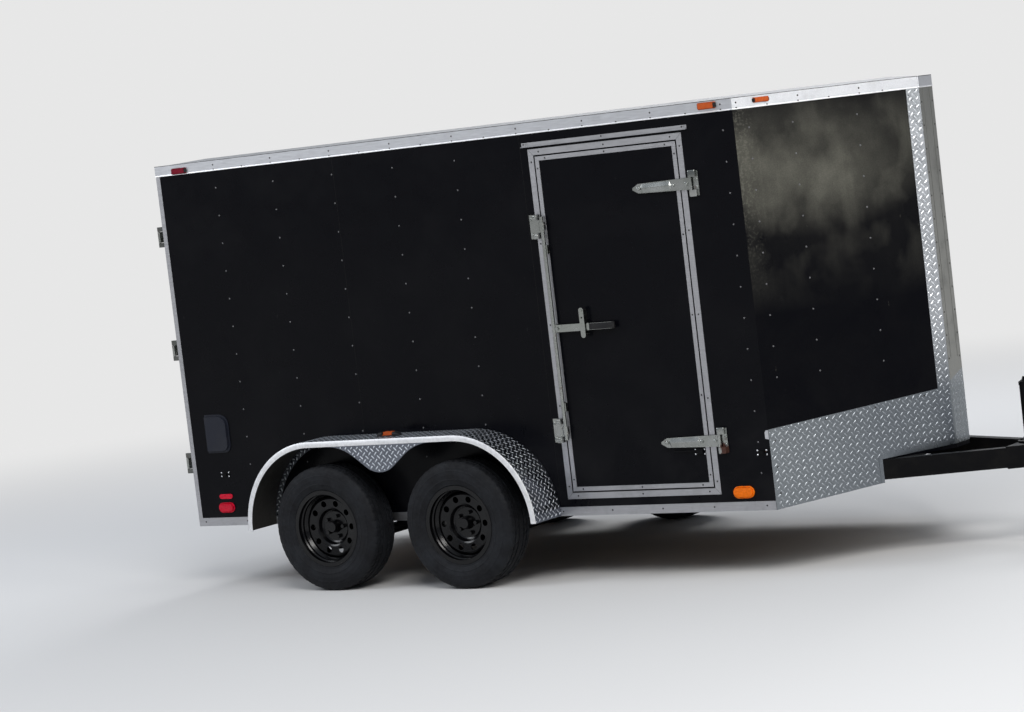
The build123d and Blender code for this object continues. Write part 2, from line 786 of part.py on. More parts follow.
def arch(inset, n0, n1, mode=Mode.ADD):
    """The fender's side shape, drawn in by inset, from n0 to n1 out of the wall."""
    r = fender_radius - inset
    straight = fender_length / 2 - fender_radius
    with BuildSketch(fender_face.offset(n0)) as arch_sketch:
        with Locations((-straight, 0), (straight, 0)):
            Circle(r)
        with Locations((0, r / 2)):
            Rectangle(2 * straight, r)
        with Locations((0, -r)):
            Rectangle(2 * fender_length, 2 * r, mode=Mode.SUBTRACT)
    extrude(arch_sketch.sketch, amount=n1 - n0, mode=mode)


with BuildPart() as fender_right:
    arch(0, 0, fender_width)
    arch(fender_t, fender_t, fender_width - fender_t, Mode.SUBTRACT)
    arch(fender_lip, fender_width - fender_t - 1, fender_width + 1, Mode.SUBTRACT)
    arch(36, -1, fender_t + 1, Mode.SUBTRACT)
    skirt_top = fender_radius - fender_lip
    tilt = radians(skirt_slope)
    flank = skirt_drop / tan(tilt / 2) - skirt_half
    root_r = (skirt_half - flank * cos(tilt)) / sin(tilt) - skirt_tip_r
    tip_v = skirt_top - skirt_drop
    low_u, low_v = skirt_tip_r * sin(tilt), tip_v + skirt_tip_r * (1 - cos(tilt))
    high_u, high_v = low_u + flank * cos(tilt), low_v + flank * sin(tilt)
    bend_u, bend_v = skirt_half - root_r * sin(tilt / 2), skirt_top - root_r * (1 - cos(tilt / 2))
    with BuildSketch(fender_face.offset(fender_width - fender_t)) as skirt:
        with BuildLine():
            ThreePointArc((-skirt_half, skirt_top), (-bend_u, bend_v), (-high_u, high_v))
            Line((-high_u, high_v), (-low_u, low_v))
            ThreePointArc((-low_u, low_v), (0, tip_v), (low_u, low_v))
            Line((low_u, low_v), (high_u, high_v))
            ThreePointArc((high_u, high_v), (bend_u, bend_v), (skirt_half, skirt_top))
            Polyline((skirt_half, skirt_top), (skirt_half, skirt_top + 4), (-skirt_half, skirt_top + 4),
                     (-skirt_half, skirt_top))
        make_face()
    extrude(skirt.sketch, amount=fender_t)
    block(x_rear, x_v, -half - 3, -half, skirt_z, skirt_z + rail_trim_height, Mode.SUBTRACT)
save(fender_right, "fender_right")
with BuildPart() as fender_left:
    add(mirror(fender_right.part, about=Plane.XZ))
save(fender_left, "fender_left")

leaf_mid_z = hub_z - axle_drop + axle_tube_r + 22

# Axles: dropped beam, spindles and brake backing plates
for x, name in ((rear_axle_x, "axle_rear"), (front_axle_x, "axle_front")):
    with BuildPart() as axle:
        crosswise(x, hub_z - axle_drop, -half - 28, half + 28, axle_tube_r)
        for side in (-1, 1):
            y0, y1 = side * (half + 8), side * (half + 28)
            block(x - axle_tube_r, x + axle_tube_r, y0, y1, hub_z - axle_drop, hub_z)
            crosswise(x, hub_z, y0, y1, axle_tube_r)
            crosswise(x, hub_z, y1, side * (half + 140), spindle_r)
            crosswise(x, hub_z, side * (half + 34), side * (half + 42), 128)
            crosswise(x, hub_z, y1, side * (half + 34), 34)
            y0, y1 = side * (spring_y - 22), side * (spring_y + 22)
            block(x - 45, x + 45, y0, y1, hub_z - axle_drop, leaf_mid_z - 2.5 * leaf_t)
    save(axle, name)

# Springs with their hangers, equalizers, seats and U-bolts
leaf_steps = ((-330, 1), (-280, 1), (-230, 1), (-229, 2), (-130, 2), (-129, 3), (0, 3))


def leaf_rise(dx):
    """Height of the main leaf's middle at a distance from the axle."""
    return leaf_mid_z + 33 * (dx / spring_half) ** 2


with BuildPart() as springs:
    for side in (-1, 1):
        spring_face = Plane(origin=(0, side * spring_y, 0), x_dir=(1, 0, 0), z_dir=(0, -1, 0))
        for x in (rear_axle_x, front_axle_x):
            top = [(x + dx, leaf_rise(dx) + leaf_t / 2) for dx in (-330, -280, -230, -130, 0)]
            low = [(x + dx, leaf_rise(dx) - leaf_t * (n - 0.5)) for dx, n in leaf_steps]
            top += [(2 * x - u, z) for u, z in top[-2::-1]]
            low += [(2 * x - u, z) for u, z in low[-2::-1]]
            sheet(spring_face, top + low[::-1], -spring_width / 2, spring_width / 2)
            for dx in (-spring_half, spring_half):
                crosswise(x + dx, spring_eye_z, side * spring_y - 22, side * spring_y + 22, 13)
            y0, y1 = side * spring_y - 22, side * spring_y + 22
            block(x - 50, x + 50, y0 - 14, y1 + 10, hub_z - axle_drop - 38, hub_z - axle_drop - 30)
            for dx in (-40, 40):
                for y in (y0 - 7, y1 + 7):
                    upright(x + dx, y, hub_z - axle_drop - 38, leaf_mid_z + 8, 5)
                block(x + dx - 5, x + dx + 5, y0 - 12, y1 + 12, leaf_mid_z + 3, leaf_mid_z + 12)
        mid_x = x_rear + axle_mid_x
        for x in (rear_axle_x - spring_half, mid_x, front_axle_x + spring_half):
            for y in (side * spring_y - 24, side * spring_y + 22):
                block(x - 32, x + 32, y, y + 2, spring_eye_z - 18, frame_bottom)
        y0, y1 = side * spring_y - 20, side * spring_y + 20
        block(mid_x - 125, mid_x + 125, y0, y1, spring_eye_z - 12, spring_eye_z + 12)
        crosswise(mid_x, spring_eye_z, y0 - 6, y1 + 6, 8)
save(springs, "springs")

# Wheels: tyre and rim turned about the axle line, outboard side to -Y
seat_r = rim_radius
bead_r = rim_radius + 0.3
tyre_side = [
    (bead_r, 48),
    (bead_r, 79.7),
    (rim_radius + rim_flange + 1, 79.7),
    (232, 97),
    (268, tyre_width / 2),
    (312, 98),
    (334, 82),
    (tyre_radius, 58),
]
tyre_inside = [(326, 60), (306, 86), (268, 92), (226, 84), (206, 62), (200, 48)]
with BuildPart() as tyre:
    half_loop = tyre_side + tyre_inside
    outer_loop = tyre_side + [(r, -w) for r, w in tyre_side[::-1]]
    inner_loop = tyre_inside + [(r, -w) for r, w in tyre_inside[::-1]]
    with BuildSketch(Plane.XY) as tyre_section:
        Polygon(*outer_loop, align=None)
        Polygon(*inner_loop, align=None, mode=Mode.SUBTRACT)
        with Locations((195, 0)):
            Rectangle(20, 96, mode=Mode.SUBTRACT)
    revolve(tyre_section.sketch, Axis.Y)

rim_half = rim_width / 2
barrel = [
    (rim_radius + rim_flange, -rim_half),
    (rim_radius + rim_flange, -rim_half + 6),
    (seat_r, -rim_half + 6),
    (seat_r, -46),
    (172, -28),
    (172, 28),
    (seat_r, 46),
    (seat_r, rim_half - 6),
    (rim_radius + rim_flange, rim_half - 6),
    (rim_radius + rim_flange, rim_half),
    (seat_r - 4, rim_half),
    (seat_r - 4, 44),
    (168, 26),
    (168, -26),
    (seat_r - 10, -42),
    (seat_r - 10, -56),
    (seat_r - 4, -62),
    (seat_r - 4, -rim_half),
]
disc = [
    (40, 0),
    (80, 0),
    (88, -5),
    (98, -23),
    (106, -28),
    (152, -33),
    (161, -29),
    (169, -14),
    (169, -6),
    (158, -23),
    (151, -27),
    (108, -22),
    (103, -19),
    (93, 1),
    (84, 6),
    (40, 6),
]
drum = [(36, 10), (36, 1), (127, 1), (127, 76), (120, 76), (120, 10)]
hub = [(0, -38), (26, -38), (30, -30), (36, 0), (36, 76), (20.3, 76), (20.3, -22), (0, -22)]
with BuildPart() as rim:
    with BuildSketch(Plane.XY) as rim_section:
        for loop in (barrel, disc, drum, hub):
            Polygon(*loop, align=None)
    revolve(rim_section.sketch, Axis.Y)
    with Locations(Location((0, -25, 0), (90, 0, 0))):
        with PolarLocations(rim_hole_circle, 10):
            Cylinder(rim_hole_r, 40, mode=Mode.SUBTRACT)
    with BuildSketch(side_view) as nuts:
        with PolarLocations(57.15, 5):
            RegularPolygon(11, 6)
    extrude(nuts.sketch, amount=18)

for x, side, name in (
    (rear_axle_x, -1, "rear_right"),
    (rear_axle_x, 1, "rear_left"),
    (front_axle_x, -1, "front_right"),
    (front_axle_x, 1, "front_left"),
):
    for shape, kind in ((tyre, "tyre"), (rim, "rim")):
        with BuildPart() as wheel_piece:
            placed = shape.part.moved(Location((x, -wheel_y, hub_z)))
            add(placed if side < 0 else mirror(placed, about=Plane.XZ))
        save(wheel_piece, f"{kind}_{name}")

# Side vents: D-shaped hooded covers near the rear of each side, flat edge to the rear
vent_x = x_rear + 134
vent_z = skirt_z + 412
vent_length = 164
vent_height = 217
with BuildPart() as vent:
    for inset, n0, n1 in ((0, 0, 5), (12, 5, 17)):
        x0, z0 = vent_x + inset * 0.4, vent_z + inset
        z1 = vent_z + vent_height - inset
        low_x, high_x = vent_x + 0.66 * vent_length, vent_x + 0.5 * vent_length
        bulge = (vent_x + vent_length - inset, vent_z + 0.42 * vent_height)
        with BuildSketch(side_face.offset(n0)) as cover:
            with BuildLine():
                Polyline((low_x, z0), (x0, z0), (x0, z1), (high_x, z1))
                Spline((high_x, z1), bulge, (low_x, z0), tangents=((1, 0), (-1, 0)))
            make_face()
        extrude(cover.sketch, amount=n1 - n0)
with BuildPart() as side_vents:
    add(vent.part)
    add(mirror(vent.part, about=Plane.XZ))
save(side_vents, "side_vents")


def lamp(face, u, v, length, height, depth, draft=5):
    """A lamp with square ends: a low base and a smaller lens on it."""
    plate(face, u - length / 2, u + length / 2, v - height / 2, v + height / 2, 0, depth / 3)
    half_u, half_v = length / 2 - draft, height / 2 - draft * 0.8
    plate(face, u - half_u, u + half_u, v - half_v, v + half_v, depth / 3, depth)


def oval_lamp(face, u, v, length, height, depth):
    """A round-ended marker: its base and the lens standing out of it."""
    oval(face, u, v, length, height, 0, depth / 2)
    oval(face, u, v, length - 14, height - 14, depth / 2, depth)


# Lamps: oval side markers, roof-edge lamps, fender lamps, reflectors and tail lamps
marker_z = skirt_z + 94
red_marker_z = skirt_z + 102
reflector_z = skirt_z + 165
roof_lamp_z = roof_z - 25
tail_lamp_z = deck_top + 90
fender_top = fender_z + fender_radius
sides = ((side_face, 1), (left_face, -1))
with BuildPart() as nose_lamps:
    lamp(nose_face.offset(roof_trim_t), 157, roof_lamp_z, 82, 26, 16)

with BuildPart() as amber_lamps:
    for face, sign in sides:
        oval_lamp(face, sign * (x_v - 173), marker_z, 117, 60, 14)
        lamp(face.offset(roof_trim_t), sign * (x_v - 140), roof_lamp_z, 96, 34, 18)
        lamp(Plane.XY.offset(fender_top), fender_x, -sign * (half + 130), 66, 40, 24)
    add(nose_lamps.part)
    add(mirror(nose_lamps.part, about=Plane.XZ))
save(amber_lamps, "amber_lamps")

with BuildPart() as red_lamps:
    for face, sign in sides:
        oval_lamp(face, sign * (x_rear + 217), red_marker_z, 109, 56, 14)
        oval(face, sign * (x_rear + 219), reflector_z, 93, 27, 0, 5)
        lamp(face.offset(roof_trim_t), sign * (x_rear + 176), roof_z - 39, 98, 34, 18)
        oval(tail_face, tail_lamp_z, sign * (half - 29), 140, 38, 0, 5)
        oval(tail_face, tail_lamp_z, sign * (half - 29), 124, 24, 5, 9)
    for y in (-180, 0, 180):
        lamp(rear_face.offset(roof_trim_t), y, roof_z - 35, 62, 20, 14, 3)
save(red_lamps, "red_lamps")

# Side door's hold-back: bracket and rod
with BuildPart() as door_holdback:
    hold_x = frame_x1 - holdback_behind
    plate(side_face, hold_x - 30, hold_x + 30, skirt_z + 289, skirt_z + 322, 0, 3)
    plate(side_face, hold_x - 14, hold_x + 20, skirt_z + 296, skirt_z + 320, 3, 13)
    with Locations(Location((hold_x - 78, -half - 9, skirt_z + 312), (0, 90, 0))):
        Cylinder(3, 140)
save(door_holdback, "door_holdback")
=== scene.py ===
"""Looks for the enclosed cargo trailer: materials, tread pattern, fasteners, tyres, light and camera."""

import json
import math

import bpy
from mathutils import Matrix, Vector


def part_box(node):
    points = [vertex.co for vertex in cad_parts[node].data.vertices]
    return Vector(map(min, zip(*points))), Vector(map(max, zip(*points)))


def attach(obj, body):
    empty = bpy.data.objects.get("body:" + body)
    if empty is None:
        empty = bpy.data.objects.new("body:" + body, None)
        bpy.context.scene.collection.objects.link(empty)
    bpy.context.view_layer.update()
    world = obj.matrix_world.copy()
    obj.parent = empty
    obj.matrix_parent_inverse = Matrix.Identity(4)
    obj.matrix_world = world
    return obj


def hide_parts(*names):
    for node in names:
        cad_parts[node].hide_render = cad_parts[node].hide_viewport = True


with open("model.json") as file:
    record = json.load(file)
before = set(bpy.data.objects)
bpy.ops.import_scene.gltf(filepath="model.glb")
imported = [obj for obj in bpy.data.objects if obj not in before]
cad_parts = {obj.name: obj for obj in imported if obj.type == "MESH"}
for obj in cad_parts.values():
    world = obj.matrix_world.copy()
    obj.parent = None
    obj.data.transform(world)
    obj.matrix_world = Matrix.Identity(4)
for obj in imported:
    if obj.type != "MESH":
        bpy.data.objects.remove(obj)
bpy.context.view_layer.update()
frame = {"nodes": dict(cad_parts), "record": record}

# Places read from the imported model, in metres
wall_lo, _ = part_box("side_wall_right")
_, front_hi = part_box("nose_front")
trim_lo, trim_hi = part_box("roof_trim")
door_lo, door_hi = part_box("side_door")
frame_lo, frame_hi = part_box("door_frame")
strap_lo, strap_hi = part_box("side_door_straps")
rail_lo, rail_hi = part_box("side_rails")
fender_lo, fender_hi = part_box("fender_right")
X_REAR = rail_lo.x
X_V = rail_hi.x
X_NOSE = front_hi.x
HALF = -wall_lo.y
NOSE_HALF = front_hi.y
SKIRT_Z = rail_lo.z
RAIL_TOP = SKIRT_Z + 0.046
TRIM_LOW = trim_lo.z
TRIM_TOP = trim_hi.z
TRIM_OUT = trim_hi.y - HALF
V_LENGTH = math.hypot(X_NOSE - X_V, HALF - NOSE_HALF)
V_DIR = Vector(((X_NOSE - X_V) / V_LENGTH, (HALF - NOSE_HALF) / V_LENGTH, 0))
UP = Vector((0, 0, 1))
ACROSS = Vector((0, 1, 0))
FENDER_R = fender_hi.z - fender_lo.z
FENDER_X = (fender_lo.x + fender_hi.x) / 2


# Materials
def shade(colour, factor):
    """A colour made darker or lighter."""
    return tuple(c * factor for c in colour)


def added(tree, kind, **values):
    """A new node with plain values in its sockets."""
    node = tree.nodes.new(f"ShaderNode{kind}")
    for key, value in values.items():
        node.inputs[key.replace("_", " ")].default_value = value
    return node


class Shader:
    """A Principled material with short calls for the nodes that feed it."""

    def __init__(self, name, **sockets):
        self.mat = bpy.data.materials.new(name)
        self.mat.use_nodes = True
        self.tree = self.mat.node_tree
        self.bsdf = self.tree.nodes["Principled BSDF"]
        for key, value in sockets.items():
            self.bsdf.inputs[key.replace("_", " ")].default_value = value
        self.texture = added(self.tree, "TexCoord")
        self.coords = self.texture.outputs["Object"]

    def link(self, source, socket):
        self.tree.links.new(source, socket)

    def feed(self, node, index, value):
        """Links a socket, or writes a plain number or colour."""
        if isinstance(value, bpy.types.NodeSocket):
            self.link(value, node.inputs[index])
        else:
            node.inputs[index].default_value = value

    def stretch(self, x, y, z):
        """The coordinates scaled along each axis."""
        return self.vector("MULTIPLY", self.coords, (x, y, z))

    def vector(self, operation, a, b):
        node = added(self.tree, "VectorMath")
        node.operation = operation
        self.feed(node, 0, a)
        self.feed(node, 1, b)
        return node.outputs["Value" if operation in ("DOT_PRODUCT", "DISTANCE") else "Vector"]

    def noise(self, scale, detail=4.0, rough=0.55, coords=None, distortion=0.0):
        node = added(self.tree, "TexNoise", Scale=scale, Detail=detail, Roughness=rough,
                     Distortion=distortion)
        self.link(coords or self.coords, node.inputs["Vector"])
        return node.outputs["Fac"]

    def cells(self, scale):
        """Distance to the nearest of scattered points."""
        node = added(self.tree, "TexVoronoi", Scale=scale)
        self.link(self.coords, node.inputs["Vector"])
        return node.outputs["Distance"]

    def axis(self, name):
        node = added(self.tree, "SeparateXYZ")
        self.link(self.coords, node.inputs[0])
        return node.outputs[name]

    def span(self, value, low, high, out_low=0.0, out_high=1.0):
        """Maps low..high to out_low..out_high, clamped."""
        node = added(self.tree, "MapRange")
        self.feed(node, 0, value)
        for index, number in enumerate((low, high, out_low, out_high), 1):
            node.inputs[index].default_value = number
        return node.outputs[0]

    def math(self, operation, a, b):
        node = added(self.tree, "Math")
        node.operation = operation
        self.feed(node, 0, a)
        self.feed(node, 1, b)
        return node.outputs[0]

    def times(self, a, b):
        return self.math("MULTIPLY", a, b)

    def plus(self, a, b):
        return self.math("ADD", a, b)

    def mix(self, factor, a, b):
        """A colour between a and b, each a socket or three numbers."""
        node = added(self.tree, "Mix")
        node.data_type = "RGBA"
        self.feed(node, 0, factor)
        for index, colour in ((6, a), (7, b)):
            self.feed(node, index, colour if isinstance(colour, bpy.types.NodeSocket) else (*colour, 1))
        return node.outputs[2]

    def colour(self, value):
        self.link(value, self.bsdf.inputs["Base Color"])

    def roughness(self, value):
        self.link(value, self.bsdf.inputs["Roughness"])

    def metallic(self, value):
        self.feed(self.bsdf, "Metallic", value)

    def bump(self, height, distance):
        node = added(self.tree, "Bump", Strength=1.0, Distance=distance)
        self.link(height, node.inputs["Height"])
        self.link(node.outputs[0], self.bsdf.inputs["Normal"])


BLACK_ENAMEL = (0.0013, 0.0014, 0.0027)
ROAD_DUST = (0.016, 0.016, 0.017)
# The nose's dust colour, which also carries its painted reflection and highlight
NOSE_DUST_AND_SHEEN = (0.098, 0.096, 0.080)
# Middle and flattening of the painted reflection patch high on the nose
REFLECTION_X, REFLECTION_Z, REFLECTION_FLAT = X_V + 0.22, 2.02, 1.15


def nose_haze_and_sheen(s, dust):
    """Adds hazy dust high on the nose, mixed with a painted reflection of the surroundings, a bright painted
    reflection patch in it and, along its side edge, scuffs with a painted highlight of the bend.
    """
    # Hazy dust mixed with a painted reflection of the surroundings: strongest high up, weaker just below the
    # roof trim
    up = s.span(s.axis("Z"), 1.30, 1.85)
    down = s.span(s.axis("Z"), 2.33, 2.16, 0.25, 1.0)
    # A bright painted reflection patch by the corner post
    middle = (REFLECTION_X, 0.0, REFLECTION_Z * REFLECTION_FLAT)
    near_reflection = s.span(s.vector("DISTANCE", s.stretch(1.0, 0.0, REFLECTION_FLAT), middle), 0.10, 0.42, 1.0, 0.0)
    patch = s.times(near_reflection, s.span(s.noise(5.0, 3.0, 0.5), 0.3, 0.6, 0.45, 1.0))
    mottle = s.span(s.noise(3.8, 3.0, 0.5, s.stretch(1.0, 1.0, 0.9), 0.15), 0.41, 0.60, 0.08, 0.74)
    streak = s.span(s.noise(16.0, 3.0, 0.6, s.stretch(1.0, 1.0, 0.06)), 0.3, 0.7, 0.6, 1.0)
    dust_and_reflection = s.times(s.times(up, down), s.times(mottle, streak))
    # Along the side edge: scuffs, with a painted highlight of the bend
    edge = s.span(s.axis("X"), X_V + 0.075, X_V, 0.0, 0.6)
    edge = s.times(edge, s.span(s.noise(75.0, 3.0), 0.50, 0.66))
    edge = s.times(edge, s.span(s.axis("Z"), 1.35, 2.0))
    return s.plus(s.plus(dust, edge), s.plus(s.times(dust_and_reflection, 0.8), s.times(patch, 0.7)))


def painted_skin(name, haze_and_sheen):
    """Black enamel on thin sheet: soft dents, road dust low down and, on the nose, hazy dust with a painted
    reflection and highlight.
    """
    s = Shader(name, Specular_IOR_Level=0.05 if haze_and_sheen else 0.09, Coat_Weight=0.02, Coat_Roughness=0.1)
    low = s.span(s.axis("Z"), 0.34, 0.95, 0.5, 0.0)
    cloud = s.span(s.noise(2.3, 5.0, 0.6, distortion=0.4), 0.46, 0.72)
    dust = s.times(s.times(s.plus(low, 0.12), cloud), 0.15 if haze_and_sheen else 1.0)
    if haze_and_sheen:
        # On the nose the dust also carries a painted reflection and a painted highlight
        dust = nose_haze_and_sheen(s, dust)
    fine = s.span(s.noise(160.0, 2.0), 0.35, 0.75, 0.75, 1.0)
    scuff = s.span(s.noise(55.0, 4.0, 0.6, s.stretch(1.0, 1.0, 0.35)), 0.70, 0.76)
    scuff = s.times(scuff, s.span(s.noise(3.0, 2.0), 0.52, 0.62))
    dust = s.plus(s.times(dust, fine), s.times(scuff, 0.8 if haze_and_sheen else 1.0))
    dust = s.math("MINIMUM", dust, 1.0)
    s.colour(s.mix(dust, BLACK_ENAMEL, NOSE_DUST_AND_SHEEN if haze_and_sheen else ROAD_DUST))
    s.roughness(s.plus(s.times(dust, 0.28), s.span(s.noise(9.0), 0.3, 0.7, 0.24, 0.34)))
    sheet = s.noise(1.4, 2.0, 0.4)
    dent = s.times(s.span(s.cells(4.6), 0.02, 0.13, -0.30, 0.0), 1.0 if haze_and_sheen else 0.2)
    s.bump(s.plus(sheet, dent), 0.010 if haze_and_sheen else 0.006)
    return s.mat


def aluminium(name, base, rough, streak=(1.0, 1.0, 1.0), stained=0.5, grain=0.0004, metal=1.0, under=None,
              top=None):
    """Bare mill aluminium with draw lines, dull spots and, where asked for, painted shade on the faces turned
    towards a point under it and a top painted darker as shade.
    """
    s = Shader(name, Specular_IOR_Level=0.5)
    normal = s.texture.outputs["Normal"]
    line = s.noise(60.0, 3.0, 0.6, s.stretch(*streak))
    stain = s.times(s.span(s.noise(7.0, 5.0, 0.65), 0.50, 0.75), stained)
    tone = s.mix(s.span(line, 0.3, 0.7), shade(base, 0.86), base)
    tone = s.mix(stain, tone, shade(base, 0.55))
    rough = s.plus(s.times(stain, 0.28), s.span(line, 0.3, 0.7, rough, rough + 0.12))
    # Painted shade: faces that look up take the darker top colour
    if top:
        tone = s.mix(s.span(s.vector("DOT_PRODUCT", normal, (0.0, 0.0, 1.0)), 0.5, 0.9), tone, top)
    # Painted shade: faces turned towards the point under, such as a fender's inside, go dark, rough and less
    # metallic
    if under:
        offset = s.vector("MULTIPLY", s.vector("SUBTRACT", s.coords, under), (1.0, 0.0, 1.0))
        under_shade = s.span(s.vector("DOT_PRODUCT", offset, normal), -0.05, -0.2)
        tone = s.mix(under_shade, tone, (0.016, 0.015, 0.013))
        rough = s.plus(rough, s.times(under_shade, 0.4))
        metal = s.span(under_shade, 0.0, 1.0, 1.0, 0.1)
    s.metallic(metal)
    s.colour(tone)
    s.roughness(rough)
    s.bump(line, grain)
    return s.mat


def tread_sheet(name, pale_tone, dark_tone, high, rough):
    """Tread plate: paler at the back and along the front, darker between, mottled towards the paler tone and
    with a painted highlight where it stands high.
    """
    s = Shader(name, Metallic=1.0)
    low = s.mix(s.span(s.axis("X"), X_V, X_NOSE), pale_tone, dark_tone)
    low = s.mix(s.span(s.axis("X"), X_NOSE - 0.004, X_NOSE), low, pale_tone)
    # Painted highlight: from 0.80 m up the tread takes the bright colour
    tone = s.mix(s.span(s.axis("Z"), 0.80, 1.10), low, high)
    s.colour(s.mix(s.span(s.noise(3.5, 4.0, 0.6), 0.35, 0.65, 0.0, 0.4), tone, pale_tone))
    s.roughness(s.span(s.noise(30.0, 3.0), 0.3, 0.7, rough, rough + 0.12))
    s.bump(s.noise(60.0, 3.0), 0.0004)
    return s.mat


def plain_paint(name, base, rough, grime=(0.030, 0.028, 0.025), amount=0.55, shine=0.25):
    """Brushed or sprayed paint with orange peel and dust in patches."""
    s = Shader(name, Specular_IOR_Level=shine)
    patch = s.times(s.span(s.noise(11.0, 5.0, 0.65), 0.48, 0.76), amount)
    s.colour(s.mix(patch, base, grime))
    s.roughness(s.plus(s.times(patch, 0.3), s.span(s.noise(40.0), 0.3, 0.7, rough, rough + 0.1)))
    s.bump(s.noise(220.0, 2.0), 0.0004)
    return s.mat


def zinc(name, base=0.38):
    """Zinc-plated hardware, dull, with rust in patches low on the lower front butt."""
    s = Shader(name)
    spangle = s.noise(14.0, 2.0, 0.5)
    lower = s.span(s.axis("Z"), 0.655, 0.72, 0.30, 0.0)
    butt = s.times(s.span(s.axis("X"), strap_hi.x - 0.012, strap_hi.x + 0.004),
                   s.span(s.axis("X"), X_V, X_V - 0.1))
    rust = s.span(s.plus(s.noise(34.0, 6.0, 0.7), s.times(lower, butt)), 0.60, 0.72)
    dull, bright = (base * 0.80, base * 0.84, base * 0.79), (base, base * 1.03, base)
    tone = s.mix(s.span(spangle, 0.3, 0.7), dull, bright)
    s.colour(s.mix(rust, tone, (0.055, 0.019, 0.012)))
    s.metallic(s.span(rust, 0.0, 1.0, 1.0, 0.3))
    s.roughness(s.plus(s.times(rust, 0.3), s.span(spangle, 0.3, 0.7, 0.20, 0.30)))
    s.bump(s.noise(120.0, 3.0), 0.00004)
    return s.mat


def rubber(name):
    """Weathered tyre rubber with dust ground in."""
    s = Shader(name, Specular_IOR_Level=0.25)
    dust = s.times(s.span(s.noise(9.0, 6.0, 0.7), 0.42, 0.78), 0.7)
    s.colour(s.mix(dust, (0.0042, 0.0046, 0.0064), (0.018, 0.021, 0.026)))
    s.roughness(s.span(s.noise(60.0), 0.3, 0.7, 0.62, 0.82))
    s.bump(s.noise(420.0, 3.0, 0.7), 0.0006)
    return s.mat


def lens(name, base, high):
    """A moulded lamp lens with fine optic ribs, painted darker as shade on the fenders and the roof's edge.
    """
    s = Shader(name, Roughness=0.25, Specular_IOR_Level=0.18, Subsurface_Weight=0.1, Coat_Weight=0.02)
    s.bsdf.inputs["Subsurface Radius"].default_value = (0.006, 0.002, 0.001)
    wave = added(s.tree, "TexWave", Scale=70.0)
    s.link(s.coords, wave.inputs["Vector"])
    tone = s.mix(s.span(s.noise(80.0), 0.3, 0.7), shade(base, 0.75), base)
    # Painted shade: lenses from 0.70 m up, on the fenders and the roof's edge, take the darker colour
    s.colour(s.mix(s.span(s.axis("Z"), 0.70, 0.75), tone, high))
    s.bump(wave.outputs["Fac"], 0.0012)
    return s.mat


def plywood(name):
    """Plain plywood with its grain along the trailer."""
    s = Shader(name, Roughness=0.75, Specular_IOR_Level=0.2)
    grain = s.noise(9.0, 6.0, 0.65, s.stretch(0.5, 12.0, 6.0), 0.5)
    s.colour(s.mix(s.span(grain, 0.3, 0.7), (0.20, 0.125, 0.065), (0.36, 0.25, 0.145)))
    s.bump(grain, 0.0006)
    return s.mat


ALONG = (0.2, 3.0, 3.0)
SKIN = painted_skin("black_skin", False)
# The nose's skin carries a painted reflection and highlight in its dust
NOSE_SKIN_WITH_SHEEN = painted_skin("black_skin_dust_and_sheen", True)
TRIM = aluminium("mill_trim", (0.50, 0.50, 0.52), 0.34, ALONG)
# Its top faces are painted darker as shade
ROOF_TRIM = aluminium("roof_edge_trim", (0.70, 0.71, 0.74), 0.34, ALONG, 0.35, top=(0.27, 0.275, 0.285))
FRONT = aluminium("front_sheet", (0.33, 0.33, 0.31), 0.28, (4.0, 6.0, 0.15))
ROOF = aluminium("roof_sheet_metal", (0.34, 0.345, 0.355), 0.62, (0.15, 2.0, 1.0), 0.22, metal=0.55)
# Tread tones for the plate and its lenses: paler, darker, a painted highlight high up, and roughness
TREAD = tread_sheet("tread_plate_metal", (0.24, 0.26, 0.275), (0.13, 0.145, 0.165), (0.56, 0.58, 0.61), 0.24)
GUARD_LENS = tread_sheet("guard_lens_metal", (0.40, 0.425, 0.45), (0.27, 0.29, 0.32), (0.88, 0.90, 0.93),
                         0.34)
# The fender's dark bluish tone is a painted reflection of dark surroundings, and its faces turned to the
# wheel get painted shade
FENDER = aluminium("fender_plate_metal", (0.19, 0.205, 0.24), 0.22, under=(FENDER_X, 0.0, fender_lo.z))
LENS_METAL = aluminium("tread_lens_metal", (0.78, 0.82, 0.88), 0.40, stained=0.25)
LIP = aluminium("polished_lip", (0.95, 0.95, 0.96), 0.50, stained=0.1, grain=0.0001)
CHASSIS = plain_paint("chassis_paint", (0.0022, 0.0022, 0.0028), 0.36, (0.009, 0.0085, 0.0075), shine=0.10)
ZINC = zinc("zinc_steel_dull")
DARK_ZINC = zinc("zinc_steel_dark", 0.16)
WHEEL = plain_paint("wheel_enamel", (0.0016, 0.0016, 0.0021), 0.12, (0.009, 0.009, 0.009), 0.25, shine=0.32)
RUBBER = rubber("tyre_rubber_dusty")
PLY = plywood("plywood_deck")
PLASTIC = plain_paint("vent_plastic", (0.011, 0.013, 0.021), 0.42, (0.03, 0.03, 0.032), 0.35)
# Lens colours: own colour, and a darker one painted as shade for the upper lamps
AMBER = lens("amber_lens_plastic", (0.95, 0.19, 0.003), (0.46, 0.085, 0.018))
RED = lens("red_lens_plastic", (0.66, 0.003, 0.030), (0.17, 0.006, 0.018))
BLACK_PLASTIC = plain_paint("black_plastic", (0.008, 0.008, 0.009), 0.5)
PAINTED_SCREW = plain_paint("painted_screw", (0.11, 0.11, 0.115), 0.34, amount=0.2)
TRIM_SCREW = plain_paint("trim_screw", (0.035, 0.034, 0.034), 0.45, amount=0.2)
DARK = plain_paint("dark_joint", (0.004, 0.004, 0.004), 0.6, amount=0.1)

